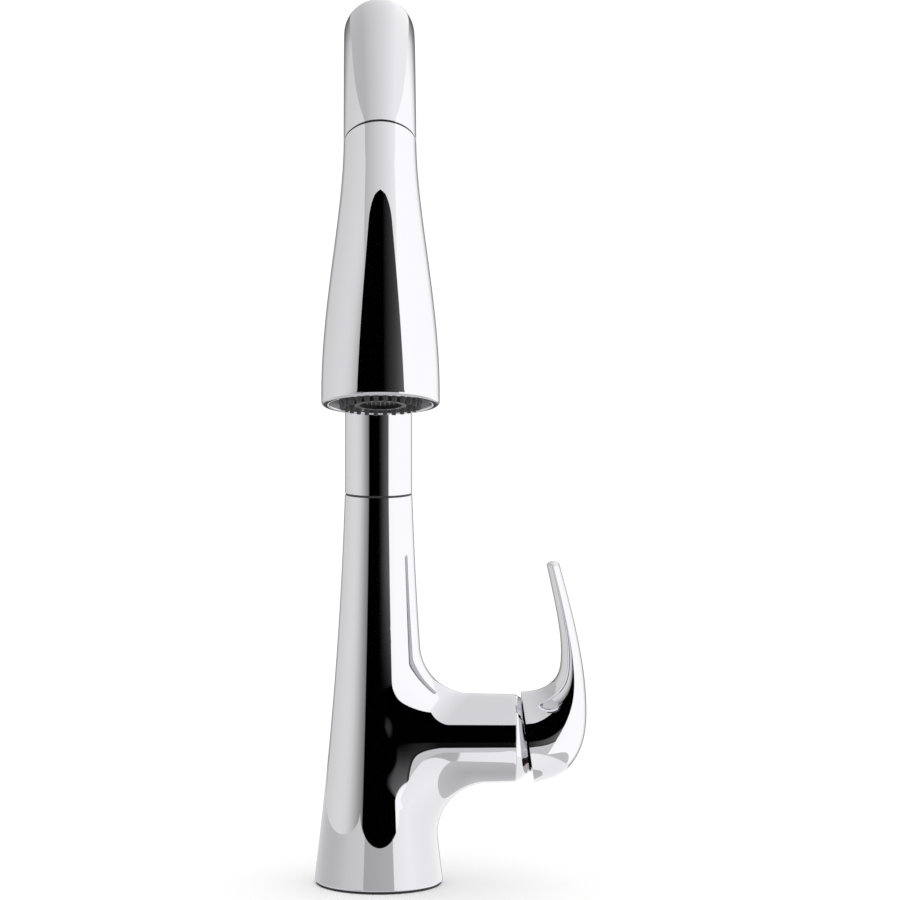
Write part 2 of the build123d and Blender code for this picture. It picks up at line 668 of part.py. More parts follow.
def button_pin_form(half_length, radius):
    """A cylinder along X through the button's pivot."""
    plane = head_plane(BUTTON_AT)
    centre = plane.origin - (head_radius(BUTTON_AT) - BUTTON_PIN_DEPTH) * plane.y_dir
    return Pos(centre) * Rot(0, 90, 0) * Cylinder(radius, 2 * half_length)


def tail_form(radius, half_length):
    """A cylinder along X where the button's tail meets the spool."""
    plane = head_plane(BUTTON_AT)
    centre = plane.origin - spool_height() * plane.y_dir
    return Pos(centre) * Rot(0, 90, 0) * Cylinder(radius, 2 * half_length)


def diverter_spool():
    """Spool that the button pushes from stream to spray, with a slot for the button's tail."""
    plane = head_plane(BUTTON_AT)
    slot = box_on(plane, (-5, 5), (-spool_height() - 4, -spool_height() + 1.3), (-1.4, 1.4))
    return spool_form(SPOOL_R, 13) - slot


def spray_button():
    """Chromed rocker on the head's back, resting with its upper end pressed in."""
    plane = head_plane(BUTTON_AT)
    radius = head_radius(BUTTON_AT)
    half = BUTTON_LENGTH / 2
    low, high = BUTTON_AT - half - 4, BUTTON_AT + half + 4
    cover = head_form(low, high, -BUTTON_PROUD, 5) - head_form(low - 1, high + 1, HEAD_WALL - 0.8, 5)
    shape = cover & button_form(0, 2 * HEAD_WALL)
    pin_y = -radius + BUTTON_PIN_DEPTH
    shape += box_on(plane, (-3.8, 3.8), (-radius + 1.2, pin_y + 1.9), (-2.2, 2.2))
    shape += box_on(plane, (-1.2, 1.2), (pin_y, -spool_height() - 0.2), (-1, 1))
    shape -= button_pin_form(8, BUTTON_PIN_R + RUN)
    centre = plane.origin + pin_y * plane.y_dir
    return shape.rotate(Axis(centre, (1, 0, 0)), BUTTON_SWING / 2)


def button_pin():
    """Steel pin that the button rocks on."""
    return button_pin_form(5.7, BUTTON_PIN_R)


def spray_face():
    """Black face plate behind the rim, with a hole for the aerator and seats for the nozzles."""
    shape = tube_on(FACE_PLANE, -FACE_RECESS - FACE_T, -FACE_RECESS, FACE_R - SLIP, AERATOR_R + SLIP)
    half = NOZZLE_R + SLIP
    low = -FACE_RECESS - NOZZLE_BED - SLIP
    return shape - tube_on(FACE_PLANE, low, 0, NOZZLE_RING_R + half, NOZZLE_RING_R - half)


def nozzle_ring():
    """Soft ring with the spray nozzles standing out of the face."""
    low = -FACE_RECESS - NOZZLE_BED
    shape = tube_on(FACE_PLANE, low, -FACE_RECESS, NOZZLE_RING_R + NOZZLE_R, NOZZLE_RING_R - NOZZLE_R)
    nub = Cone(NOZZLE_R, NOZZLE_R * 0.62, NOZZLE_HEIGHT) - Cylinder(0.35, NOZZLE_HEIGHT + 1)
    for i in range(NOZZLE_COUNT):
        place = Rot(0, 0, 360 * i / NOZZLE_COUNT) * Pos(NOZZLE_RING_R, 0, -FACE_RECESS + NOZZLE_HEIGHT / 2)
        shape += FACE_PLANE * place * nub
    return shape


def aerator_housing():
    """Ring around the aerator's screen."""
    low, high = -FACE_RECESS - FACE_T - 1.5, 0.2
    return tube_on(FACE_PLANE, low, high, AERATOR_R, SCREEN_R)


def aerator_screen():
    """Grid of thin bars across the aerator."""
    low, high = -FACE_RECESS - 1.6, -0.6
    shape = tube_on(FACE_PLANE, low, high, SCREEN_R - RUN, SCREEN_R - 0.7)
    bar, count = SCREEN_BAR / 2, int(SCREEN_R / SCREEN_PITCH)
    for i in range(-count, count + 1):
        at = i * SCREEN_PITCH
        half = math.sqrt((SCREEN_R - 0.4) ** 2 - at**2)
        shape += box_on(FACE_PLANE, (at - bar, at + bar), (-half, half), (low + 0.3, high - 0.2))
        shape += box_on(FACE_PLANE, (-half, half), (at - bar, at + bar), (low + 0.3, high - 0.2))
    return shape


def flow_insert():
    """Plastic insert that leads the water from the diverter to the face."""
    low = -RIM_DEPTH - 14
    shape = tube_on(FACE_PLANE, low, -FACE_RECESS - FACE_T - 2.5, AERATOR_R + 1, AERATOR_R - 1.5)
    return shape + tube_on(FACE_PLANE, low, low + 2, AERATOR_R + 3, 3)


# --------------------------------------------------------- deck mounting ----
def clamp_rubber():
    """Rubber washer under the worktop."""
    return tube_z(-DECK_T - RUBBER_T, -DECK_T, NUT_R + 2, SHANK_R + 0.8)


def clamp_plate():
    """Steel washer that the nut's screws press on."""
    top = -DECK_T - RUBBER_T
    return tube_z(top - PLATE_T, top, NUT_R + 1.5, SHANK_R + 0.6)


def mounting_nut():
    """Round nut on the shank, with two wings and holes for the tightening screws."""
    top = -DECK_T - RUBBER_T - PLATE_T
    shape = tube_z(top - NUT_T, top, NUT_R)
    for side in (-1, 1):
        span = sorted((side * (NUT_R - 3), side * (NUT_R + 7)))
        shape += box_on(Plane.XY, (-3, 3), span, (top - NUT_T, top - 2))
    shape -= tube_z(top - NUT_T - 1, top + 1, SHANK_R + GAP)
    for side in (-1, 1):
        x = side * CLAMP_SCREW_RING_R
        shape -= tube_z(top - NUT_T - 1, top + 1, CLAMP_SCREW_R + RUN, x=x)
    return shape


def clamp_screws():
    """The two tightening screws through the nut."""
    top = -DECK_T - RUBBER_T - PLATE_T
    screws = []
    for side in (-1, 1):
        x = side * CLAMP_SCREW_RING_R
        screw = tube_z(top - CLAMP_SCREW_LENGTH, top, CLAMP_SCREW_R, x=x)
        slot_z = top - CLAMP_SCREW_LENGTH
        screw -= box_on(Plane.XY, (x - 4, x + 4), (-0.5, 0.5), (slot_z - 1, slot_z + 1.5))
        screws.append(screw.solid())
    return Compound(children=screws)


PIECES = {
    "body_shell": body_shell,
    "base_gasket": base_gasket,
    "shank": shank,
    "valve_core": valve_core,
    "port_adapters": port_adapters,
    "cartridge_seal": lambda: pierced_disc(SEAT_X, BASE_X, CARTRIDGE_R - GAP, CHANNEL_R),
    "cartridge_base": lambda: pierced_disc(BASE_X, FIXED_X, CARTRIDGE_R, CHANNEL_R),
    "fixed_disc": lambda: pierced_disc(FIXED_X, MOVING_X, CHAMBER_R - SLIP, CHANNEL_R - 0.4),
    "moving_disc": moving_disc,
    "disc_carriage": disc_carriage,
    "cartridge_housing": cartridge_housing,
    "stem_carrier": stem_carrier,
    "stem_pin": lambda: stem_pin_form(CARRIER_NECK_R - 0.8, PIN_R),
    "lever_stem": lever_stem,
    "cartridge_nut": cartridge_nut,
    "hot_limit_ring": hot_limit_ring,
    "dome_ring": dome_ring,
    "handle": handle,
    "set_screw": set_screw,
    "index_plug": index_plug,
    "swivel_washer": swivel_washer,
    "swivel_bushings": swivel_bushings,
    "spout_hub": spout_hub,
    "spout_clip": spout_clip,
    "spout_tube": lambda: swept_tube(spout_line(SPOUT_BOTTOM), TUBE_R, TUBE_R - TUBE_WALL),
    "dock_collar": dock_collar,
    "dock_magnet": dock_magnet,
    "spray_hose": spray_hose,
    "hose_connector": hose_connector,
    "connector_seal": connector_seal,
    "hose_ferrule": hose_ferrule,
    "head_shell": head_shell,
    "head_core": head_core,
    "swivel_clip": swivel_clip,
    "check_valve": check_valve,
    "diverter_body": diverter_body,
    "diverter_spool": diverter_spool,
    "spray_button": spray_button,
    "button_pin": button_pin,
    "flow_insert": flow_insert,
    "spray_face": spray_face,
    "nozzle_ring": nozzle_ring,
    "aerator_housing": aerator_housing,
    "aerator_screen": aerator_screen,
    "clamp_rubber": clamp_rubber,
    "clamp_plate": clamp_plate,
    "mounting_nut": mounting_nut,
    "clamp_screws": clamp_screws,
}

for piece_name, build_piece in PIECES.items():
    save(build_piece(), piece_name)
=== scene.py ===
"""Builds the looks of a chrome pull-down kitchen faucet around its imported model.

Everything is in metres in the part's own frame: +Z up, the spout reaches out along -Y, the lever
stands on the +X side, and z = 0 is the deck.
"""

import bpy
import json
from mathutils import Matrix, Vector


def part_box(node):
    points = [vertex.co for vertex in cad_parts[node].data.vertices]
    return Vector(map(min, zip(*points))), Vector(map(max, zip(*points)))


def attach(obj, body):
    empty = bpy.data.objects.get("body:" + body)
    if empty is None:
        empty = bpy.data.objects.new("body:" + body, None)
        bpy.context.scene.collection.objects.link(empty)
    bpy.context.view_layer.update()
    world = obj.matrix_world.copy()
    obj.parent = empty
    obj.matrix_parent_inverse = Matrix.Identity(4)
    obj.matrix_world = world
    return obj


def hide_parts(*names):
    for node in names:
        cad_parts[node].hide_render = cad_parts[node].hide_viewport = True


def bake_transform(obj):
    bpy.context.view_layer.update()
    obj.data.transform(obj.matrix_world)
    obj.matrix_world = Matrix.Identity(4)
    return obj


bl_info = {
    "name": "Pull-down kitchen faucet",
    "version": (1, 0, 0),
    "blender": (4, 5, 0),
    "location": "3D View > Sidebar > Faucet",
    "description": "Chrome surfaces, dark spray face, hose, materials and a studio for a kitchen faucet",
    "category": "Object",
}

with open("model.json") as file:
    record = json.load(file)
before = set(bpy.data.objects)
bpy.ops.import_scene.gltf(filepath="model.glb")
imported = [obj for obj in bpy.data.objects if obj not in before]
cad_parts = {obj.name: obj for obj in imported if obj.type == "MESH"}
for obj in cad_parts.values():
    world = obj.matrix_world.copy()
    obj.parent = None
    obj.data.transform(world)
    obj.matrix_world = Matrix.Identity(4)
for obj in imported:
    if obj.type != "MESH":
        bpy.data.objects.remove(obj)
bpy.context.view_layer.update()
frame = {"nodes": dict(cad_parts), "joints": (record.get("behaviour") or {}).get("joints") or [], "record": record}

import json
import math

import bpy
import numpy as np
from bpy.props import FloatProperty, PointerProperty

MM = 0.001
NODES = frame["nodes"]
JOINTS = {joint["name"]: joint for joint in frame["joints"]}
PIVOT = np.array(JOINTS["lever_tilt"]["pos_m"])
DOCK = np.array(JOINTS["head_swivel"]["pos_m"])
BODY_LOW, BODY_HIGH = (np.array(corner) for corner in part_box("body_shell"))
TUBE_LOW, TUBE_HIGH = (np.array(corner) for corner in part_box("spout_tube"))
TUBE_R = TUBE_HIGH[0]
DOCK_TILT = math.atan2(-JOINTS["head_pull"]["axis"][1], -JOINTS["head_pull"]["axis"][2])


# ------------------------------------------------------------- geometry ----
def smoothstep(t):
    """0 below t = 0, 1 above t = 1, and 3t^2 - 2t^3 between them."""
    t = np.clip(t, 0.0, 1.0)
    return t * t * (3 - 2 * t)


def curve_through(points, t):
    """Smooth curve through points at parameters t in 0..1, spaced by chord length.

    A natural cubic spline: its second derivatives solve one tridiagonal system.
    """
    points = np.asarray(points, float)
    chord = np.linalg.norm(np.diff(points, axis=0), axis=1)
    knots = np.concatenate([[0], np.cumsum(chord)]) / chord.sum()
    step = np.diff(knots)
    count = len(points)
    system = np.eye(count)
    inner = np.arange(1, count - 1)
    system[inner, inner - 1] = step[:-1]
    system[inner, inner] = 2 * (step[:-1] + step[1:])
    system[inner, inner + 1] = step[1:]
    slope = np.diff(points, axis=0) / step[:, None]
    right = np.zeros_like(points)
    right[1:-1] = 6 * np.diff(slope, axis=0)
    bend = np.linalg.solve(system, right)
    t = np.asarray(t, float)
    k = np.clip(np.searchsorted(knots, t, side="right") - 1, 0, count - 2)
    a, b = (knots[k + 1] - t) / step[k], (t - knots[k]) / step[k]
    curve = (a**3 - a) * step[k] ** 2, (b**3 - b) * step[k] ** 2
    value = a[:, None] * points[k] + b[:, None] * points[k + 1]
    return value + (curve[0][:, None] * bend[k] + curve[1][:, None] * bend[k + 1]) / 6


def rings_about(origin, axis, side, outline, count):
    """Carries an outline of (distance along axis, radius) round an axis: a grid of rings."""
    axis = np.asarray(axis, float) / np.linalg.norm(axis)
    side = np.asarray(side, float) / np.linalg.norm(side)
    other = np.cross(axis, side)
    angle = np.linspace(0, 2 * math.pi, count, endpoint=False)
    round_ = np.cos(angle)[:, None] * side + np.sin(angle)[:, None] * other
    return np.asarray(origin) + outline[:, :1, None] * axis + outline[:, 1:, None] * round_


def grid_object(name, grids, edge_angle=35.0):
    """One mesh from grids of rings, each (points, closed along, cap ends).

    Rings close round in the second index. Quads join neighbours, closed along wraps too, and a cap
    fills an open end with one face. Windings are made to agree and to point outward.
    """
    points, faces, base = [], [], 0
    for grid, closed_along, capped in grids:
        rows, cols = grid.shape[:2]
        index = base + np.arange(rows * cols).reshape(rows, cols)
        below = index if closed_along else index[:-1]
        above = np.roll(index, -1, axis=0) if closed_along else index[1:]
        quads = np.stack([below, np.roll(below, -1, 1), np.roll(above, -1, 1), above], -1)
        faces += quads.reshape(-1, 4).tolist()
        if capped:
            faces += [index[0][::-1].tolist(), index[-1].tolist()]
        points.append(grid.reshape(-1, 3))
        base += rows * cols
    mesh = bpy.data.meshes.new(name)
    mesh.from_pydata(np.concatenate(points).tolist(), [], faces)
    mesh.update()
    piece = bpy.data.objects.new(name, mesh)
    bpy.context.scene.collection.objects.link(piece)
    turn_outward(mesh)
    mesh.shade_smooth()
    mesh.set_sharp_from_angle(angle=math.radians(edge_angle))
    return piece


def turn_outward(mesh):
    """Reverses every face if the closed mesh's signed volume is negative."""
    mesh.calc_loop_triangles()
    co = np.empty(len(mesh.vertices) * 3)
    mesh.vertices.foreach_get("co", co)
    tri = np.empty(len(mesh.loop_triangles) * 3, np.int32)
    mesh.loop_triangles.foreach_get("vertices", tri)
    a, b, c = co.reshape(-1, 3)[tri.reshape(-1, 3)].transpose(1, 0, 2)
    if np.einsum("ij,ij->", a, np.cross(b, c)) < 0:
        mesh.flip_normals()


def finish_piece(piece, body, material, stands_for=()):
    """Gives a piece its material, its body and the CAD nodes that it stands for."""
    piece.data.materials.clear()
    piece.data.materials.append(material)
    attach(piece, body)
    if stands_for:
        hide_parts(*stands_for)
    return piece


# ------------------------------------------------------------ materials ----
def linear(hex_colour):
    """Linear RGBA from an sRGB hex colour."""
    value = np.array([int(hex_colour[i : i + 2], 16) for i in (0, 2, 4)]) / 255
    rgb = np.where(value <= 0.04045, value / 12.92, ((value + 0.055) / 1.055) ** 2.4)
    return (*rgb.tolist(), 1.0)


def add_node(tree, kind, links=(), **settings):
    """Adds a shader node; settings name its attributes or inputs, and links are (input, output socket)."""
    node = tree.nodes.new(kind)
    for key, value in settings.items():
        if hasattr(node, key):
            setattr(node, key, value)
        else:
            node.inputs[key.replace("_", " ")].default_value = value
    for key, output in links:
        tree.links.new(output, node.inputs[key])
    return node


def new_material(name):
    """A material with a Principled shader, its tree and its object coordinates in metres."""
    material = bpy.data.materials.new(name)
    material.use_nodes = True
    tree = material.node_tree
    shader = tree.nodes["Principled BSDF"]
    place = add_node(tree, "ShaderNodeTexCoord").outputs["Object"]
    return material, tree, shader, place


def chrome_plate():
    """Chromium plate, polished: a near-mirror with a cool grey tint and the faintest waviness."""
    material, tree, shader, place = new_material("chrome_polished_plate")
    shader.inputs["Base Color"].default_value = linear("E5E4E8")
    shader.inputs["Metallic"].default_value = 1.0
    smears = add_node(tree, "ShaderNodeTexNoise", [("Vector", place)], Scale=55.0, Detail=2.0)
    spread = add_node(tree, "ShaderNodeMapRange", [("Value", smears.outputs["Fac"])])
    spread.inputs["To Min"].default_value = 0.012
    spread.inputs["To Max"].default_value = 0.028
    tree.links.new(spread.outputs["Result"], shader.inputs["Roughness"])
    return material


MATERIALS = {}


def material_for(name, maker):
    """The named material, made once."""
    if name not in MATERIALS:
        MATERIALS[name] = maker()
    return MATERIALS[name]


def moulded(name, colour, roughness, grain_mm, depth=0.15):
    """Moulded plastic or rubber: a dull even colour with a fine grain from the mould."""
    material, tree, shader, place = new_material(name)
    shader.inputs["Roughness"].default_value = roughness
    scale = 1 / (grain_mm * MM)
    grain = add_node(tree, "ShaderNodeTexNoise", [("Vector", place)], Scale=scale, Detail=3.0)
    ramp = add_node(tree, "ShaderNodeMix", [("Factor", grain.outputs["Fac"])], data_type="RGBA")
    ramp.inputs["A"].default_value = linear(colour)
    lighter = [min(1.0, c * 1.25 + 0.003) for c in linear(colour)[:3]]
    ramp.inputs["B"].default_value = (*lighter, 1.0)
    tree.links.new(ramp.outputs["Result"], shader.inputs["Base Color"])
    bump = add_node(tree, "ShaderNodeBump", [("Height", grain.outputs["Fac"])], Strength=depth)
    bump.inputs["Distance"].default_value = 0.02 * MM
    tree.links.new(bump.outputs["Normal"], shader.inputs["Normal"])
    return material


def machined(name, colour, roughness, pitch_mm):
    """Turned or drawn metal: fine tool lines round the piece with a slight change of roughness."""
    material, tree, shader, place = new_material(name)
    shader.inputs["Base Color"].default_value = linear(colour)
    shader.inputs["Metallic"].default_value = 1.0
    lines = add_node(tree, "ShaderNodeTexWave", [("Vector", place)], Scale=1 / (pitch_mm * MM) / 20)
    lines.bands_direction = "Z"
    lines.inputs["Distortion"].default_value = 2.0
    spread = add_node(tree, "ShaderNodeMapRange", [("Value", lines.outputs["Fac"])])
    spread.inputs["To Min"].default_value = roughness
    spread.inputs["To Max"].default_value = roughness + 0.12
    tree.links.new(spread.outputs["Result"], shader.inputs["Roughness"])
    return material


CLASS_LOOKS = {
    "chrome": ("chrome_polished_plate", chrome_plate),
    "brass": ("brass_turned", lambda: machined("brass_turned", "C8A45A", 0.24, 0.4)),
    "rubber_black": ("epdm_rubber_moulded", lambda: moulded("epdm_rubber_moulded", "161617", 0.62, 0.4)),
    "nozzle_rubber": ("silicone_moulded", lambda: moulded("silicone_moulded", "3A3A3C", 0.5, 0.35)),
    "nylon_dark": ("nylon_dark_moulded", lambda: moulded("nylon_dark_moulded", "2A2A2C", 0.5, 0.3)),
    "nylon_white": ("nylon_natural_moulded", lambda: moulded("nylon_natural_moulded", "E6E4DA", 0.4, 0.3)),
    "ceramic_disc": ("alumina_lapped", lambda: moulded("alumina_lapped", "EFEDE6", 0.18, 0.2, 0.03)),
    "ferrite": ("ferrite_sintered", lambda: moulded("ferrite_sintered", "2A2A2C", 0.55, 0.2)),
    "cartridge_plastic": ("acetal_moulded", lambda: moulded("acetal_moulded", "DAD9D2", 0.38, 0.3)),
    "steel": ("stainless_machined", lambda: machined("stainless_machined", "B9BBBD", 0.2, 0.3)),
    "black_plastic": ("abs_black_moulded", lambda: moulded("abs_black_moulded", "121213", 0.33, 0.35)),
    "hose_braid": ("nylon_braid_woven", lambda: moulded("nylon_braid_woven", "6A6B6E", 0.5, 0.4)),
    "plug_plastic": ("abs_chrome_grey_moulded", lambda: moulded("abs_chrome_grey_moulded", "8C8E92", 0.25, 0.3)),
}


def look_for_slot(slot_name):
    """The material of a slot in the record."""
    name, maker = CLASS_LOOKS[slot_name]
    return material_for(name, maker)


# --------------------------------------------------------------- pieces ----
class FaucetSizes(bpy.types.PropertyGroup):
    """Sizes of the visible surfaces that the node boxes do not give."""

    body_top: FloatProperty(
        name="Body top", description="Radius of the body's rim",
        default=14.3 * MM, unit="LENGTH"
    )
    body_waist: FloatProperty(
        name="Body waist", description="Radius of the body at half height", default=18.95 * MM, unit="LENGTH"
    )
    body_wall: FloatProperty(
        name="Body wall", description="Wall of the body",
        default=2.4 * MM, unit="LENGTH"
    )
    boss_radius: FloatProperty(
        name="Boss radius", description="Radius of the boss at its end", default=18.8 * MM, unit="LENGTH"
    )
    boss_taper: FloatProperty(
        name="Boss taper", description="How much wider the boss is at the body's axis",
        default=1 * MM, unit="LENGTH"
    )
    boss_blend: FloatProperty(
        name="Boss blend", description="Radius between boss and trunk", default=22 * MM, unit="LENGTH"
    )
    tube_wall: FloatProperty(
        name="Tube wall", description="Wall of the spout tube",
        default=1.2 * MM, unit="LENGTH"
    )
    arch_height: FloatProperty(
        name="Arch height", description="Height where the straight riser ends",
        default=295.1 * MM, unit="LENGTH"
    )
    arch_radius: FloatProperty(
        name="Arch radius", description="Centreline radius of the arch", default=68 * MM, unit="LENGTH"
    )
    arch_tilt: FloatProperty(
        name="Arch end", description="Tilt of the tube where the arch ends",
        default=math.radians(60), subtype="ANGLE"
    )
    leg_radius: FloatProperty(
        name="Leg radius", description="Centreline radius between arch and head",
        default=160 * MM, unit="LENGTH"
    )
    head_length: FloatProperty(
        name="Head length", description="Length of the head's centreline", default=112.5 * MM, unit="LENGTH"
    )
    face_tilt: FloatProperty(
        name="Face tilt", description="Tilt of the spray face", default=math.radians(16), subtype="ANGLE"
    )
    head_flare: FloatProperty(
        name="Head flare", description="How much the head widens", default=8.4 * MM, unit="LENGTH"
    )
    flare_length: FloatProperty(
        name="Flare length", description="Distance over which the head widens",
        default=108 * MM, unit="LENGTH"
    )
    head_wall: FloatProperty(
        name="Head wall", description="Wall of the spray head",
        default=2.2 * MM, unit="LENGTH"
    )
    head_gap: FloatProperty(
        name="Head gap", description="Gap between spout and head", default=0.8 * MM, unit="LENGTH"
    )
    rim_inset: FloatProperty(
        name="Rim inset", description="Width of the head's rim", default=3.1 * MM, unit="LENGTH"
    )


def sizes():
    """The scene's faucet sizes."""
    return bpy.context.scene.faucet_sizes


def spout_path(count):
    """Centreline of the spout: points (count, 3) and tilt from straight down, by length.

    The riser is straight up, the arch turns with one radius, and the leg with a larger one.
    """
    s = sizes()
    riser = s.arch_height - TUBE_LOW[2]
    arch = s.arch_radius * (math.pi - s.arch_tilt)
    leg = s.leg_radius * (s.arch_tilt - DOCK_TILT)
    straight = np.linspace(0, riser, 5)[:-1]
    along = np.concatenate([straight, np.linspace(riser, riser + arch + leg, count)])
    turned = np.clip(along - riser, 0, arch) / s.arch_radius
    turned = turned + np.clip(along - riser - arch, 0, leg) / s.leg_radius
    first = np.clip(along - riser, 0, arch) / s.arch_radius
    y = -s.arch_radius * (1 - np.cos(first))
    z = TUBE_LOW[2] + np.minimum(along, riser) + s.arch_radius * np.sin(first)
    bend = math.pi - s.arch_tilt
    second = np.clip(along - riser - arch, 0, leg) / s.leg_radius
    y = y - s.leg_radius * (np.cos(bend) - np.cos(bend + second))
    z = z + s.leg_radius * (np.sin(bend + second) - np.sin(bend))
    return np.stack([np.zeros_like(y), y, z], -1), math.pi - turned


def head_path(u):
    """Centreline of the head at distances u below the dock, and its tilt: one arc."""
    s = sizes()
    tilt = DOCK_TILT - (DOCK_TILT - s.face_tilt) * u / s.head_length
    radius = s.head_length / (DOCK_TILT - s.face_tilt)
    y = DOCK[1] - radius * (np.cos(tilt) - math.cos(DOCK_TILT))
    z = DOCK[2] - radius * (math.sin(DOCK_TILT) - np.sin(tilt))
    return np.stack([np.zeros_like(y), y, z], -1), tilt


def head_radius(u):
    """Outer radius of the head: an S-shaped flare."""
    s = sizes()
    return TUBE_R + s.head_flare * smoothstep(u / s.flare_length)


def path_rings(centres, tilts, radii, count):
    """Rings square to a path in the Y-Z plane; tilt is measured from straight down toward -Y."""
    angle = np.linspace(0, 2 * math.pi, count, endpoint=False)
    front = np.stack([np.zeros_like(tilts), -np.cos(tilts), np.sin(tilts)], -1)
    side = np.array([1.0, 0, 0])
    round_ = np.cos(angle)[None, :, None] * side + np.sin(angle)[None, :, None] * front[:, None, :]
    return centres[:, None, :] + np.asarray(radii)[:, None, None] * round_


class FAUCET_OT_spout(bpy.types.Operator):
    """Builds the spout tube: one round tube carried along the riser, the arch and the leg"""

    bl_idname = "faucet.spout"
    bl_label = "Spout tube"

    def execute(self, context):
        centres, tilts = spout_path(150)
        lip = 0.12 * MM
        outer = np.full(len(centres), TUBE_R)
        outer[0] = outer[-1] = TUBE_R - lip
        inner = np.full(len(centres), TUBE_R - sizes().tube_wall)
        rings = path_rings(centres, tilts, outer, 128)
        down = np.array([0, -math.sin(DOCK_TILT), -math.cos(DOCK_TILT)])
        edges = [path_rings(centres[:1] + [[0, 0, lip]], tilts[:1], [TUBE_R], 128)]
        edges.append(path_rings(centres[-1:] - lip * down, tilts[-1:], [TUBE_R], 128))
        loop = [rings[:1], edges[0], rings[1:-1], edges[1], rings[-1:]]
        loop.append(path_rings(centres[::-1], tilts[::-1], inner[::-1], 128))
        piece = grid_object("spout_tube_chrome", [(np.concatenate(loop), True, False)])
        finish_piece(piece, "spout", look_for_slot("chrome"), ["spout_tube"])
        return {"FINISHED"}


def head_outline():
    """Closed outline of the head's wall as (distance below the dock, radius)."""
    s = sizes()
    end, rim, roll = s.head_length, head_radius(s.head_length) - s.rim_inset, 1.4 * MM
    top, fine = s.head_gap, 0.12 * MM
    u = np.linspace(top + fine, end - roll, 120)
    outer = np.stack([u, head_radius(u)], -1)
    turn = np.linspace(0, math.pi / 2, 9)[1:]
    foot = head_radius(end)
    roll_out = np.stack([end - roll + roll * np.sin(turn), foot - roll + roll * np.cos(turn)], -1)
    roll_in = np.stack([end - 0.5 * MM + 0.5 * MM * np.cos(turn), rim + 0.5 * MM - 0.5 * MM * np.sin(turn)], -1)
    deep = end - 10 * MM
    inside = np.linspace(deep, top + 0.1 * MM, 40)
    wall = np.stack([inside, head_radius(inside) - s.head_wall], -1)
    lip = np.array([[top, TUBE_R - s.head_wall], [top, TUBE_R - fine]])
    ledge = np.array([[deep, rim]])
    return np.concatenate([outer, roll_out, roll_in, ledge, wall, lip])


class FAUCET_OT_head(bpy.types.Operator):
    """Builds the spray head's shell: its wall outline carried round the head's curved centreline"""

    bl_idname = "faucet.head"
    bl_label = "Spray head"

    def execute(self, context):
        outline = head_outline()
        centres, tilts = head_path(outline[:, 0])
        rings = path_rings(centres, tilts, outline[:, 1], 160)
        piece = grid_object("spray_head_chrome", [(rings, True, False)])
        finish_piece(piece, "sprayhead", look_for_slot("chrome"), ["head_shell"])
        return {"FINISHED"}


class FAUCET_OT_dome(bpy.types.Operator):
    """Builds the spherical ring between the boss and the lever by turning its outline about the boss axis"""

    bl_idname = "faucet.dome"
    bl_label = "Dome ring"

    def execute(self, context):
        low, high = (np.array(corner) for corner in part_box("dome_ring"))
        radius, wall = 20.6 * MM, 1.6 * MM
        boss_end = BODY_HIGH[0] - PIVOT[0]
        opening = 11.8 * MM
        start, stop = math.acos(boss_end / radius), math.asin(opening / radius)
        turn = np.linspace(start, stop, 60)
        outer = radius * np.stack([np.cos(turn), np.sin(turn)], -1)
        inner_stop = math.asin(14.6 * MM / (radius - wall))
        turn = np.linspace(math.asin(opening / (radius - wall)), inner_stop, 30)
        inner = (radius - wall) * np.stack([np.cos(turn), np.sin(turn)], -1)
        skirt = low[0] - PIVOT[0]
        back = np.array([[skirt, 14.6 * MM], [skirt, 16.0 * MM], [boss_end, 16.0 * MM]])
        outline = np.concatenate([outer, inner, back])
        rings = rings_about(PIVOT, (1, 0, 0), (0, 0, 1), outline, 160)
        piece = grid_object("dome_ring_chrome", [(rings, True, False)])
        finish_piece(piece, "base", look_for_slot("chrome"), ["dome_ring"])
        return {"FINISHED"}


LEVER_INNER = [(11.2, 19.8), (20.2, 21.5), (26.3, 26.6), (28.2, 35.6), (25.7, 57.4), (21.8, 75.4)]
LEVER_OUTER = [(16.9, -19.1), (29.1, -14.4), (36.5, -4.5), (39.1, 13.8), (36.1, 39.4), (27.1, 75.8)]


def lever_rings(s, count):
    """Rings of the lever at fractions s of its length, from the round cup to the thin tip.

    Each ring spans from the inner to the outer side curve: x is a power of the cosine, y the sine.
    The power is 1, an ellipse, at the cup and grows toward 2, two arcs that meet in a front and a
    back ridge, on the blade. The width falls along the length.
    """
    inner = curve_through(np.array(LEVER_INNER) * MM, s)
    outer = curve_through(np.array(LEVER_OUTER) * MM, s**0.63)
    half = (outer - inner) / 2
    middle = (outer + inner) / 2
    cup = 39.3 * MM
    width = cup + (15.0 * MM - cup) * (1 - (1 - s) ** 2.2)
    power = 1 + 0.58 * smoothstep((s - 0.2) / 0.4)
    angle = np.linspace(0, 2 * math.pi, count, endpoint=False)
    c, d = np.cos(angle)[None], np.sin(angle)[None]
    across = np.sign(c) * np.abs(c) ** power[:, None]
    along = d + 0 * power[:, None]
    x = middle[:, :1] + half[:, :1] * across
    z = middle[:, 1:] + half[:, 1:] * across
    y = width[:, None] / 2 * along
    return PIVOT + np.stack([x, y, z], -1)


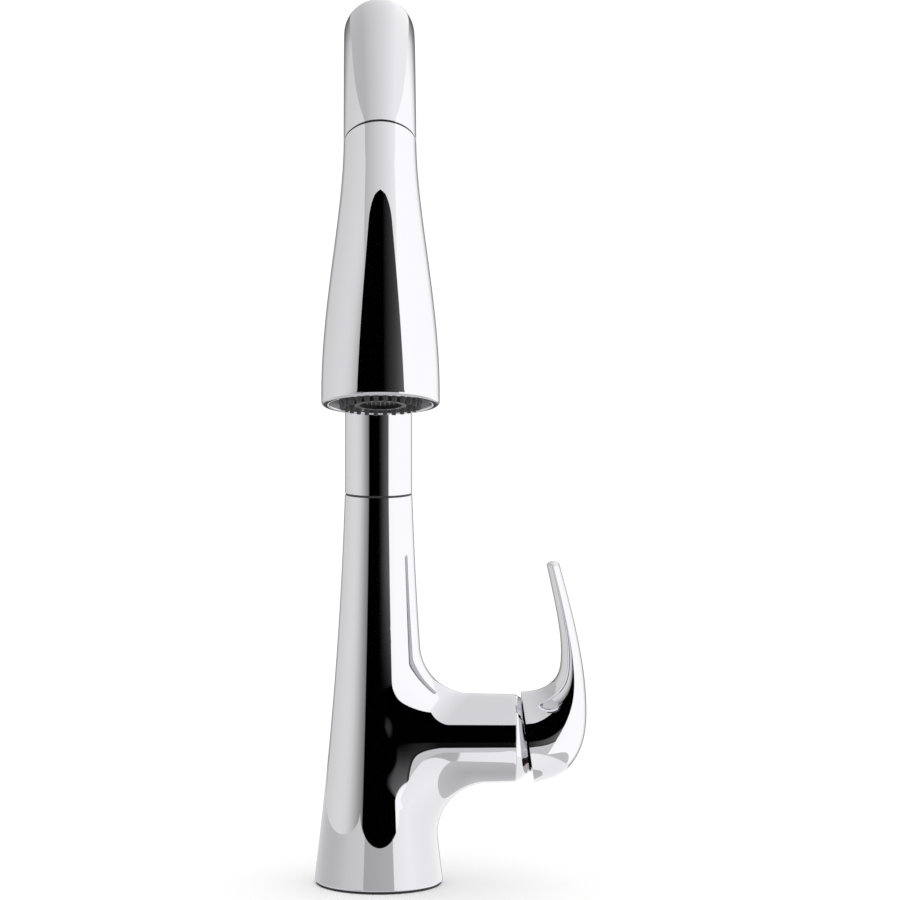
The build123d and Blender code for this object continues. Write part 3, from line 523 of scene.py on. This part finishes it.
class FAUCET_OT_lever(bpy.types.Operator):
    """Builds the lever: superellipse rings from the cup to the tip, with a spherical hollow"""

    bl_idname = "faucet.lever"
    bl_label = "Lever"

    def execute(self, context):
        count = 160
        s = np.concatenate([np.linspace(0.0, 0.3, 60)[:-1], np.linspace(0.3, 0.985, 90)])
        skin = lever_rings(s, count)
        tip = skin[-1].mean(0)
        lift = skin[-1] - skin[-2]
        lift = lift.mean(0) / np.linalg.norm(lift.mean(0)) * 1.3 * MM
        turn = np.linspace(0, math.pi / 2, 10)[1:-1]
        cap = tip + (skin[-1] - tip)[None] * np.cos(turn)[:, None, None] + lift * np.sin(turn)[:, None, None]
        edge = skin[0]
        centre = edge.mean(0)
        spokes = edge - centre
        reach = np.linalg.norm(spokes, axis=1, keepdims=True)
        stages = []
        for share in (0.985, 0.93, 0.88):
            stages.append(centre + spokes * share)
        lip = centre + spokes * 0.86
        ball = 21.3 * MM
        depth = np.linspace(0, 1, 24)[1:]
        axis = np.array([math.cos(math.radians(8.5)), 0, math.sin(math.radians(8.5))])
        away = lip - PIVOT
        angle_out = np.arccos(np.clip(away @ axis / np.linalg.norm(away, axis=1), -1, 1))
        side = away - (away @ axis)[:, None] * axis
        side = side / np.linalg.norm(side, axis=1, keepdims=True)
        hollow = []
        for t in depth:
            a = angle_out * (1 - t) + 0.24 * t
            hollow.append(PIVOT + ball * (np.cos(a)[:, None] * axis + np.sin(a)[:, None] * side))
        rows = hollow[::-1] + stages[::-1]
        rings = np.concatenate([np.array(rows), skin, cap])
        piece = grid_object("lever_chrome", [(rings, False, True)])
        finish_piece(piece, "lever", look_for_slot("chrome"), ["handle"])
        return {"FINISHED"}


def smooth_join(first, second, slope_first, slope_second, radius):
    """Signed distance to two bodies joined by a fillet of one radius.

    With a and b the distances still to go to both offset surfaces, and c the cosine between the
    gradients, the fillet is radius - sqrt((a^2 + b^2 - 2abc) / (1 - c^2)). It holds where the
    ball's centre sees both walls, a > bc and b > ac; elsewhere the nearer body counts alone. The
    radius is up to twice as large where the walls run alongside each other.
    """
    c = np.einsum("...k,...k->...", slope_first, slope_second)
    radius = radius * (1 + 0.9 * np.clip(c, 0, 1) ** 2)
    a, b = radius - first, radius - second
    reach = np.sqrt(np.maximum(a * a + b * b - 2 * a * b * c, 1e-16) / np.maximum(1 - c * c, 1e-6))
    inside = (a > 0) & (b > 0) & (b > a * c) & (a > b * c)
    return np.where(inside, radius - reach, np.minimum(first, second))


def body_radius(z):
    """Radius of the flared body at a height: a parabola through its top, waist and foot."""
    s = sizes()
    t = (BODY_HIGH[2] - z) / (BODY_HIGH[2] - BODY_LOW[2])
    foot, waist = -BODY_LOW[0] - s.body_top, s.body_waist - s.body_top
    return s.body_top + (4 * waist - foot) * t + 2 * (foot - 2 * waist) * t * t


def body_distance(p):
    """Signed distance to the body: the flared trunk and the tapered boss, with their fillet."""
    s = sizes()
    step = 0.05 * MM
    flat = np.maximum(np.hypot(p[..., 0], p[..., 1]), 1e-6)
    lean = (body_radius(p[..., 2] + step) - body_radius(p[..., 2] - step)) / (2 * step)
    size = np.sqrt(1 + lean**2)
    trunk = (flat - body_radius(p[..., 2])) / size
    slope_trunk = np.stack([p[..., 0] / flat / size, p[..., 1] / flat / size, -lean / size], -1)
    drop = p[..., 2] - PIVOT[2]
    round_ = np.maximum(np.hypot(p[..., 1], drop), 1e-6)
    taper = s.boss_taper / BODY_HIGH[0]
    boss = round_ - (s.boss_radius + s.boss_taper - taper * p[..., 0])
    slope_boss = np.stack([np.full_like(round_, taper), p[..., 1] / round_, drop / round_], -1)
    return smooth_join(trunk, boss, slope_trunk, slope_boss, s.boss_blend)


def slope_of(field, p, step=0.02 * MM):
    """Gradient of a scalar field by central differences."""
    parts = []
    for axis in range(3):
        shift = np.zeros(3)
        shift[axis] = step
        parts.append((field(p + shift) - field(p - shift)) / (2 * step))
    return np.stack(parts, -1)


def settle(p, rounds=8):
    """Moves points along the gradient until they lie on the body's surface."""
    for _ in range(rounds):
        slope = slope_of(body_distance, p)
        p = p - (body_distance(p) / np.maximum((slope**2).sum(-1), 0.05))[..., None] * slope
    return p


def body_skin(columns=240, side=112, low=0.018, high=0.112, rise=69, along=64):
    """Points and quads of the body's outer skin, all on one surface.

    The trunk is a grid of angle and height with a window at the boss. The window's border is
    carried by quadratic curves to the boss's end circle, so the boss is a grid too.
    """
    s = sizes()
    angle = 2 * math.pi * (np.arange(columns) - side // 2) / columns
    foot, top = BODY_LOW[2] + 1.0 * MM, BODY_HIGH[2]
    z = np.concatenate([np.linspace(foot, low, 14)[:-1], np.linspace(low, high, rise)])
    z = np.concatenate([z, np.linspace(high, top, 36)[1:]])
    first = 13
    a, h = np.meshgrid(angle, z)
    r = body_radius(h)
    trunk = np.stack([r * np.cos(a), r * np.sin(a), h], -1)
    window = np.zeros((len(z) - 1, columns), bool)
    window[first : first + rise - 1, :side] = True
    index = np.arange(trunk.shape[0] * columns).reshape(-1, columns)
    right = np.roll(index, -1, axis=1)
    quads = np.stack([index[:-1], right[:-1], right[1:], index[1:]], -1)[~window]
    last = first + rise - 1
    border = [index[first, :side], index[first:last, side], index[last, side:0:-1], index[last:first:-1, 0]]
    border = np.concatenate(border)
    corner = math.radians(42)
    spans = [
        (-math.pi / 2 - corner, -math.pi / 2 + corner, side),
        (-math.pi / 2 + corner, math.pi / 2 - corner, rise - 1),
    ]
    spans += [(math.pi / 2 - corner, math.pi / 2 + corner, side)]
    spans += [(math.pi / 2 + corner, 1.5 * math.pi - corner, rise - 1)]
    turn = np.concatenate([np.linspace(low_, high_, n, endpoint=False) for low_, high_, n in spans])
    start = trunk.reshape(-1, 3)[border]
    ring = np.stack([np.zeros_like(turn), np.cos(turn), np.sin(turn)], -1)
    end_x = BODY_HIGH[0] - 0.35 * MM
    end = ring * s.boss_radius + [end_x, 0, PIVOT[2]]
    bend = ring * (s.boss_radius + s.boss_taper / 2) + [0.023, 0, PIVOT[2]]
    t = np.linspace(0, 1, along)[1:, None, None]
    boss = (1 - t) ** 2 * start + 2 * t * (1 - t) * bend + t * t * end
    boss[:-1] = settle(boss[:-1])
    base = trunk.shape[0] * columns
    grid = np.vstack([border[None], base + np.arange(boss.shape[0] * len(border)).reshape(-1, len(border))])
    after = np.roll(grid, -1, axis=1)
    quads = np.concatenate([quads, np.stack([grid[:-1], after[:-1], after[1:], grid[1:]], -1).reshape(-1, 4)])
    return np.concatenate([trunk.reshape(-1, 3), boss.reshape(-1, 3)]), quads, index[0], index[-1], grid[-1]


class FAUCET_OT_body(bpy.types.Operator):
    """Builds the body: the flared trunk and the side boss in one skin, with an inner skin one wall inside"""

    bl_idname = "faucet.body"
    bl_label = "Body"

    def execute(self, context):
        s = sizes()
        outer, quads, foot, top, boss = body_skin()
        slope = slope_of(body_distance, outer)
        slope /= np.linalg.norm(slope, axis=1, keepdims=True)
        inner = outer - s.body_wall * slope
        shift = len(outer)
        points, faces = [outer, inner], [quads, quads[:, ::-1] + shift]
        total = 2 * shift
        for ring, move, inward in (
            (foot, np.array([0, 0, -1.0]), 0.9),
            (top, np.array([0, 0, 0.0]), 0.0),
            (boss, np.array([0.35, 0, 0]), 0.35),
        ):
            centre = outer[ring].mean(0)
            spoke = outer[ring] - centre
            spoke /= np.linalg.norm(spoke, axis=1, keepdims=True)
            chain = [ring]
            if inward:
                turn = np.linspace(0, math.pi / 2, 6)[1:]
                for angle in turn:
                    edge = outer[ring] + MM * (move * math.sin(angle) - inward * spoke * (1 - math.cos(angle)))
                    points.append(edge)
                    chain.append(total + np.arange(len(ring)))
                    total += len(ring)
            chain.append(ring + shift)
            for here, there in zip(chain[:-1], chain[1:]):
                strip = np.stack([here, there, np.roll(there, -1), np.roll(here, -1)], -1)
                faces.append(strip if ring is foot else strip[:, ::-1])
        mesh = bpy.data.meshes.new("body_chrome")
        mesh.from_pydata(np.concatenate(points).tolist(), [], np.concatenate(faces).tolist())
        mesh.update()
        piece = bpy.data.objects.new("body_chrome", mesh)
        context.scene.collection.objects.link(piece)
        turn_outward(mesh)
        mesh.shade_smooth()
        mesh.set_sharp_from_angle(angle=math.radians(35))
        finish_piece(piece, "base", look_for_slot("chrome"), ["body_shell"])
        return {"FINISHED"}


DRAWN = 14.0  # millimetres of hose above the dock that are drawn out in the moved poses


def hose_rings(count=28):
    """Centres, tilts and radii of the spray hose, from below the shank to its end in the head.

    It follows the spout's centreline and runs straight past the dock. Rings stand close together just above the
    dock, where the hose is drawn out.
    """
    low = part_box("spray_hose")[0]
    centres, tilts = spout_path(110)
    below = np.linspace(low[2], TUBE_LOW[2], 60)[:-1]
    start = np.stack([np.zeros_like(below), np.zeros_like(below), below], -1)
    down = np.array([0, -math.sin(DOCK_TILT), -math.cos(DOCK_TILT)])
    past = np.linspace(0, 11.9 * MM, 14)[1:]
    keep = np.linalg.norm(centres - DOCK, axis=1) > DRAWN * MM
    drawn = np.linspace(DRAWN * MM, 0, 90)
    arc = sizes().leg_radius
    turn = drawn / arc
    side = np.array([0, math.cos(DOCK_TILT), -math.sin(DOCK_TILT)])
    bend = DOCK - arc * np.sin(turn)[:, None] * down - arc * (1 - np.cos(turn))[:, None] * -side
    centres = np.concatenate([start, centres[keep], bend, DOCK + past[:, None] * down])
    tilts = np.concatenate([np.full(len(start), math.pi), tilts[keep], DOCK_TILT + turn])
    tilts = np.concatenate([tilts, np.full(len(past), DOCK_TILT)])
    return path_rings(centres, tilts, np.full(len(centres), 5.5 * MM), count)


class FAUCET_OT_hose(bpy.types.Operator):
    """Builds the spray hose: one round hose along the spout, drawn out between the dock and the head"""

    bl_idname = "faucet.hose"
    bl_label = "Spray hose"

    def execute(self, context):
        rings = hose_rings()
        piece = grid_object("spray_hose_braided", [(rings, False, True)])
        piece.data.materials.append(look_for_slot("hose_braid"))
        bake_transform(piece)
        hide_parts("spray_hose")
        return {"FINISHED"}


class FAUCET_OT_shank(bpy.types.Operator):
    """Builds the brass shank: a plain neck above a helical thread, radius falling by a triangle wave"""

    bl_idname = "faucet.shank"
    bl_label = "Threaded shank"

    def execute(self, context):
        low, high = (np.array(corner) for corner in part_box("shank"))
        neck, crest, depth, pitch, bore = high[0], 16.0 * MM, 0.55 * MM, 1.5 * MM, 15.0 * MM
        count = 96
        angle = np.linspace(0, 2 * math.pi, count, endpoint=False)
        z = np.linspace(low[2], -29.7 * MM, 242)[:, None]
        wave = np.abs(((z / pitch + angle / (2 * math.pi)) % 1) * 2 - 1)
        fade = smoothstep((z - low[2]) / pitch) * smoothstep((-29.7 * MM - z) / pitch)
        radius = crest - depth * wave * fade
        thread = np.stack([radius * np.cos(angle), radius * np.sin(angle), z + 0 * angle], -1)
        steps = [(neck, -29.5 * MM), (neck, -0.2 * MM), (16.1 * MM, 0.0), (16.1 * MM, high[2]), (bore, high[2])]
        steps += [(bore, low[2])]
        rest = [np.stack([r * np.cos(angle), r * np.sin(angle), np.full(count, h)], -1) for r, h in steps]
        rings = np.concatenate([thread, np.array(rest)])
        piece = grid_object("shank_threaded_brass", [(rings, True, False)], 50.0)
        finish_piece(piece, "base", look_for_slot("brass"), ["shank"])
        return {"FINISHED"}


class FAUCET_OT_inner_parts(bpy.types.Operator):
    """Gives every carried-over node its real material"""

    bl_idname = "faucet.inner_parts"
    bl_label = "Carried-over nodes"

    def execute(self, context):
        for part in frame["record"]["subparts"]:
            node = NODES[part["node"]]
            node.data.materials.clear()
            node.data.materials.append(look_for_slot(part["material_slot"]))
        return {"FINISHED"}


# ---------------------------------------------------------------- stage ----
class StudioSettings(bpy.types.PropertyGroup):
    """Camera, the surroundings' light level, the edges of the painted reflections, and the floor's edge in them.
    """

    distance: FloatProperty(
        name="Distance", description="Camera to body axis",
        default=1.97134, unit="LENGTH"
    )
    height: FloatProperty(
        name="Height", description="Camera height above the deck",
        default=0.404356, unit="LENGTH"
    )
    side: FloatProperty(name="Side", description="Camera offset along X", default=-0.007489, unit="LENGTH")
    pitch: FloatProperty(
        name="Pitch", description="Downward look",
        default=math.radians(6.3176), subtype="ANGLE"
    )
    yaw: FloatProperty(
        name="Yaw", description="Turn to the right",
        default=math.radians(0.217), subtype="ANGLE"
    )
    lens: FloatProperty(name="Lens", description="Focal length in millimetres", default=187.16)
    world_level: FloatProperty(name="World level", description="Brightness of the surroundings", default=1.08)
    # Edges of the painted reflections, which only mirrors see.
    painted_flag_left: FloatProperty(
        name="Flag left", description="Left edge of the dark flag",
        default=math.radians(33.4), subtype="ANGLE"
    )
    painted_flag_right: FloatProperty(
        name="Flag right", description="Right edge of the dark flag",
        default=math.radians(35), subtype="ANGLE"
    )
    painted_flag_top: FloatProperty(
        name="Flag top", description="Upper edge of the dark flag", default=math.radians(44), subtype="ANGLE"
    )
    painted_flag_bottom: FloatProperty(
        name="Flag bottom", description="Lower edge of the dark flag",
        default=math.radians(15), subtype="ANGLE"
    )
    painted_floor_edge: FloatProperty(
        name="Floor edge", description="Depth below which all mirrors the floor",
        default=math.radians(38), subtype="ANGLE"
    )


def grey(value):
    """Linear grey RGBA from an sRGB value of 0 to 255."""
    return linear(f"{int(value):02X}" * 3)


def glow_material(name, stops, axis, low, high, level):
    """A black card that glows by a grey ramp along one object axis between two coordinates: a painted reflection.
    """
    material, tree, shader, place = new_material(name)
    shader.inputs["Base Color"].default_value = (0, 0, 0, 1)
    shader.inputs["Roughness"].default_value = 1.0
    shader.inputs["Specular IOR Level"].default_value = 0.0
    split = add_node(tree, "ShaderNodeSeparateXYZ", [("Vector", place)])
    share = add_node(tree, "ShaderNodeMapRange", [("Value", split.outputs[axis])])
    share.inputs["From Min"].default_value = low
    share.inputs["From Max"].default_value = high
    ramp = grey_ramp(tree, share.outputs["Result"], stops)
    tree.links.new(ramp, shader.inputs["Emission Color"])
    shader.inputs["Emission Strength"].default_value = level
    return material


def grey_ramp(tree, share, stops):
    """A ramp of greys, each stop (position, sRGB value), over a share of 0 to 1."""
    ramp = add_node(tree, "ShaderNodeValToRGB", [("Fac", share)])
    elements = ramp.color_ramp.elements
    for _ in stops[2:]:
        elements.new(0.5)
    for element, (place, value) in zip(elements, stops):
        element.position = place
        element.color = grey(value)
    return ramp.outputs["Color"]


def hidden_card(name, grid, material):
    """A card from a grid of points, seen only in reflections: it paints a reflection."""
    rows, cols = grid.shape[:2]
    index = np.arange(rows * cols).reshape(rows, cols)
    quads = np.stack([index[:-1, :-1], index[:-1, 1:], index[1:, 1:], index[1:, :-1]], -1).reshape(-1, 4)
    mesh = bpy.data.meshes.new(name)
    mesh.from_pydata(grid.reshape(-1, 3).tolist(), [], quads.tolist())
    mesh.materials.append(material)
    piece = bpy.data.objects.new(name, mesh)
    bpy.context.scene.collection.objects.link(piece)
    piece.visible_camera = False
    piece.visible_shadow = False
    piece.visible_diffuse = False
    return piece


def head_flag():
    """A dark card close in front of the spray head, seen only in reflections, so that the curved head mirrors a
    dark stripe: a painted reflection, with a painted grey edge toward +X.

    It runs along the head's front line at one distance from it, is wider toward the face, and its
    far end is rounded like half an ellipse.
    """
    share = np.linspace(0, 1, 60)[:, None]
    u = (0.018 + (0.116 - 0.018) * share)[:, 0]
    centres, tilts = head_path(u)
    front = np.stack([np.zeros_like(tilts), -np.cos(tilts), np.sin(tilts)], -1)
    line = centres + (head_radius(u) + 0.020)[:, None] * front
    half = (0.0135 + 0.0205 * share) * np.sqrt(1 - np.clip(1 - share / 0.12, 0, 1) ** 2)
    across = np.linspace(-1, 1, 9)
    grid = line[:, None, :] + (half * across)[..., None] * np.array([1.0, 0, 0])
    # Painted reflection: black, then a glowing grey edge toward +X.
    stops = [(0.0, 0), (0.55, 0), (0.8, 60), (1.0, 92)]
    return hidden_card("head_flag", grid, glow_material("head_flag_painted_reflection", stops, "X", -0.028, 0.028, PAINTED_REFLECTION_GAIN))


def foot_screen():
    """A low curved screen round the front of the foot, seen only in reflections, whose edge dips at each band of
    the studio: its glowing greys are painted reflections.
    """
    turn = np.radians(np.linspace(-165, 150, 400))
    bands = ((-165, -150), (-150, -34), (-34, 38), (38, 150))
    degrees = np.degrees(turn)
    edge = np.full_like(turn, 0.066)
    for low, high in bands[1:3]:
        middle, half = (low + high) / 2, (high - low) / 2
        inside = np.clip(1 - ((degrees - middle) / half) ** 2, 0, None)
        edge -= 0.014 * np.sqrt(inside)
    reach = 0.095
    share = np.linspace(0, 1, 5)[:, None, None]
    foot = np.stack([reach * np.sin(turn), -reach * np.cos(turn), np.full_like(turn, -0.03)], -1)
    grid = foot + share * np.stack([np.zeros_like(turn), np.zeros_like(turn), edge], -1)
    # Painted reflection: the greys that the foot mirrors, band by band across X.
    stops = [(0.0, 186), (0.1, 200), (0.295, 205), (0.3, 168), (0.5, 172)]
    stops += [(0.7, 178), (0.705, 236), (0.9, 244), (1.0, 238)]
    material = glow_material("foot_screen_painted_reflection", stops, "X", -reach, reach, PAINTED_REFLECTION_GAIN)
    return hidden_card("foot_screen", grid, material)


# Gain of the painted reflections, seen only by mirrors and the reflection cards.
PAINTED_REFLECTION_GAIN = 1.18  # brightens the surroundings so that the plate's mirror image has the wanted level
# Painted reflections, seen only by mirrors: greys by compass angle round about (AROUND), with black for the dark
# flag in front, and greys beside and on a pale ceiling panel (BESIDE_CEILING, CEILING).
AROUND = [(-180, 60), (-170, 105), (-160, 150), (-150, 190), (-145, 200), (-126, 205), (-107, 210)]
AROUND += [(-92, 213), (-78, 212), (-66, 204), (-55, 182), (-45, 152), (-36, 126), (-33.6, 100)]
AROUND += [(-33.2, 0), (-2, 0)]
AROUND += [(4, 14), (10, 42), (21, 72), (31, 90), (34.6, 97), (35.2, 247), (60, 251)]
AROUND += [(120, 250), (140, 246), (150, 222)]
AROUND += [(160, 150), (170, 100), (180, 60)]
BESIDE_CEILING = [(-180, 160), (-40, 160), (-20, 190), (0, 225), (12, 249), (180, 249)]
CEILING = [(0.0, 178), (0.5, 207), (1.0, 233)]
# Within the painted dark flag, the painted grey panels show between these heights.
GLOW_TOP = (math.radians(-0.3), math.radians(-2.2))  # heights between which the flag's grey edge sets in
GLOW_FOOT = (math.radians(-15), math.radians(-12))  # heights between which it fades out below
CEILING_REACH = 0.65  # half width of the ceiling panel for each metre of its height
CEILING_SPREAD = 1.2  # how much wider the panel grows toward the back


def surroundings(studio):
    """The studio as a light by direction.

    Eye and dull surfaces meet plain white. Only mirrors see a painted reflection: tall panels set by compass
    angle, one dark flag in front between two heights, and a pale ceiling panel from above it to the back.
    """
    world = bpy.data.worlds.new("studio_white_with_painted_reflections")
    world.use_nodes = True
    tree = world.node_tree

    def math_node(kind, a, b=None):
        return add_math(tree, kind, a, b)

    place = add_node(tree, "ShaderNodeTexCoord").outputs["Generated"]
    split = add_node(tree, "ShaderNodeSeparateXYZ", [("Vector", place)])
    x, y, z = (split.outputs[key] for key in "XYZ")
    compass = math_node("ARCTAN2", x, math_node("MULTIPLY", y, -1.0))
    height = math_node("ARCSINE", z)
    share = math_node("ADD", math_node("MULTIPLY", compass, 1 / (2 * math.pi)), 0.5)
    # Painted reflections: panels round about, beside the ceiling and on it.
    around = grey_ramp(tree, share, [((a + 180) / 360, v) for a, v in AROUND])
    beside = grey_ramp(tree, share, [((a + 180) / 360, v) for a, v in BESIDE_CEILING])
    lean = math_node("DIVIDE", x, math_node("MAXIMUM", z, 0.001))
    over_share = math_node("ADD", math_node("MULTIPLY", lean, 0.5 / CEILING_REACH), 0.5)
    above = grey_ramp(tree, over_share, CEILING)
    # Painted floor reflection: greys below the horizon, darker downward.
    down = math_node("MULTIPLY", height, -2 / math.pi)
    below = grey_ramp(tree, down, [(0.0, 196), (0.38, 192), (1.0, 170)])
    in_front = step_between(tree, compass, -studio.painted_flag_left, studio.painted_flag_right)
    high = math_node("GREATER_THAN", height, studio.painted_flag_top)
    low = math_node("LESS_THAN", height, -studio.painted_flag_bottom)
    steady = math_node("MULTIPLY", in_front, math_node("LESS_THAN", height, studio.painted_flag_top))
    glow_low = ramp_share(tree, height, *GLOW_TOP)
    glow_high = ramp_share(tree, height, *GLOW_FOOT)
    glow = math_node("MULTIPLY", glow_low, glow_high)
    # Painted dark reflection: the flag's band goes black, except for the strip where the grey panels show.
    dark = math_node("MULTIPLY", steady, math_node("SUBTRACT", 1.0, glow))
    around = mix_colour(tree, dark, around, grey_socket(tree, 0))
    colour = mix_colour(tree, math_node("MULTIPLY", high, in_front), around, beside)
    behind = math_node("MULTIPLY", math_node("GREATER_THAN", y, 0.0), math_node("GREATER_THAN", z, 0.05))
    spread = math_node("MULTIPLY", math_node("MAXIMUM", y, 0.0), CEILING_SPREAD)
    reach = math_node("ADD", spread, CEILING_REACH)
    panel = math_node("LESS_THAN", math_node("ABSOLUTE", lean), reach)
    over = math_node("MULTIPLY", panel, math_node("MAXIMUM", high, behind))
    colour = mix_colour(tree, over, colour, above)
    deep = math_node("LESS_THAN", height, -studio.painted_floor_edge)
    under = math_node("MAXIMUM", math_node("MULTIPLY", low, in_front), deep)
    colour = mix_colour(tree, under, colour, below)
    gain = add_node(tree, "ShaderNodeVectorMath", [("Vector", colour)], operation="SCALE")
    gain.inputs["Scale"].default_value = PAINTED_REFLECTION_GAIN
    # Only glossy rays see the painted reflections; all other rays see plain white.
    mirror = add_node(tree, "ShaderNodeLightPath").outputs["Is Glossy Ray"]
    seen = mix_colour(tree, mirror, None, gain.outputs["Vector"])
    background = tree.nodes["Background"]
    tree.links.new(seen, background.inputs["Color"])
    background.inputs["Strength"].default_value = studio.world_level
    return world


def add_math(tree, kind, a, b=None):
    """A math node of two inputs, each a socket or a number."""
    node = add_node(tree, "ShaderNodeMath", operation=kind)
    for slot, value in zip(node.inputs, (a, b)):
        if isinstance(value, (int, float)):
            slot.default_value = value
        elif value is not None:
            tree.links.new(value, slot)
    return node.outputs["Value"]


def ramp_share(tree, value, start, stop):
    """0 at start, 1 at stop and a straight rise between them, for a value in either order."""
    node = add_node(tree, "ShaderNodeMapRange", [("Value", value)])
    node.inputs["From Min"].default_value = start
    node.inputs["From Max"].default_value = stop
    return node.outputs["Result"]


def grey_socket(tree, value):
    """One grey as a colour socket."""
    node = add_node(tree, "ShaderNodeRGB")
    node.outputs["Color"].default_value = grey(value)
    return node.outputs["Color"]


def step_between(tree, value, low, high):
    """1 where a value lies between two numbers, and 0 elsewhere."""
    above, below = add_math(tree, "GREATER_THAN", value, low), add_math(tree, "LESS_THAN", value, high)
    return add_math(tree, "MULTIPLY", above, below)


def mix_colour(tree, share, first, second):
    """Mixes two colours by a share; a missing first colour is white."""
    node = add_node(tree, "ShaderNodeMix", data_type="RGBA")
    tree.links.new(share, node.inputs["Factor"])
    if first is None:
        node.inputs["A"].default_value = linear("FFFFFF")
    else:
        tree.links.new(first, node.inputs["A"])
    tree.links.new(second, node.inputs["B"])
    return node.outputs["Result"]


class FAUCET_OT_stage(bpy.types.Operator):
    """Builds the pale floor, the soft surroundings with their painted reflections, the cards that paint
    reflections and the camera
    """

    bl_idname = "faucet.stage"
    bl_label = "Studio"

    def execute(self, context):
        studio = context.scene.faucet_studio
        context.scene.world = surroundings(studio)
        context.scene.view_settings.view_transform = "Standard"
        data = bpy.data.cameras.new("camera")
        data.lens = studio.lens
        data.sensor_width = 36.0
        data.shift_x = 0.0794
        data.clip_end = 50
        camera = bpy.data.objects.new("camera", data)
        camera.location = (studio.side, -studio.distance, studio.height)
        camera.rotation_euler = (math.pi / 2 - studio.pitch, 0, -studio.yaw)
        context.scene.collection.objects.link(camera)
        context.scene.camera = camera
        floor = bpy.data.meshes.new("floor")
        near, far, wide = -0.068, 6.0, 6.0
        floor.from_pydata([(-wide, near, 0), (wide, near, 0), (wide, far, 0), (-wide, far, 0)], [], [(0, 1, 2, 3)])
        piece = bpy.data.objects.new("floor", floor)
        context.scene.collection.objects.link(piece)
        material, tree, shader, place = new_material("floor_pale_paint")
        shader.inputs["Base Color"].default_value = linear("FFFFFF")
        shader.inputs["Roughness"].default_value = 0.9
        floor.materials.append(material)
        # Mirrors see the painted floor reflection in the surroundings, not this floor.
        piece.visible_glossy = False
        # Cards seen only in reflections: painted reflections.
        head_flag()
        foot_screen()
        return {"FINISHED"}


class FAUCET_PT_panel(bpy.types.Panel):
    """Lists the faucet's builders"""

    bl_label = "Faucet"
    bl_idname = "FAUCET_PT_panel"
    bl_space_type = "VIEW_3D"
    bl_region_type = "UI"
    bl_category = "Faucet"

    def draw(self, context):
        for operator in OPERATORS:
            self.layout.operator(operator.bl_idname)


OPERATORS = [
    FAUCET_OT_inner_parts,
    FAUCET_OT_body,
    FAUCET_OT_hose,
    FAUCET_OT_shank,
    FAUCET_OT_spout,
    FAUCET_OT_head,
    FAUCET_OT_dome,
    FAUCET_OT_lever,
    FAUCET_OT_stage,
]
CLASSES = [FaucetSizes, StudioSettings, *OPERATORS, FAUCET_PT_panel]


def register():
    """Registers the classes and the scene's settings."""
    for cls in CLASSES:
        bpy.utils.register_class(cls)
    bpy.types.Scene.faucet_sizes = PointerProperty(type=FaucetSizes)
    bpy.types.Scene.faucet_studio = PointerProperty(type=StudioSettings)


def unregister():
    """Removes the scene's settings and the classes."""
    del bpy.types.Scene.faucet_studio
    del bpy.types.Scene.faucet_sizes
    for cls in reversed(CLASSES):
        bpy.utils.unregister_class(cls)


def main():
    """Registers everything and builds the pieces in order."""
    register()
    for operator in OPERATORS:
        group, name = operator.bl_idname.split(".")
        getattr(getattr(bpy.ops, group), name)()


if __name__ == "__main__":
    main()
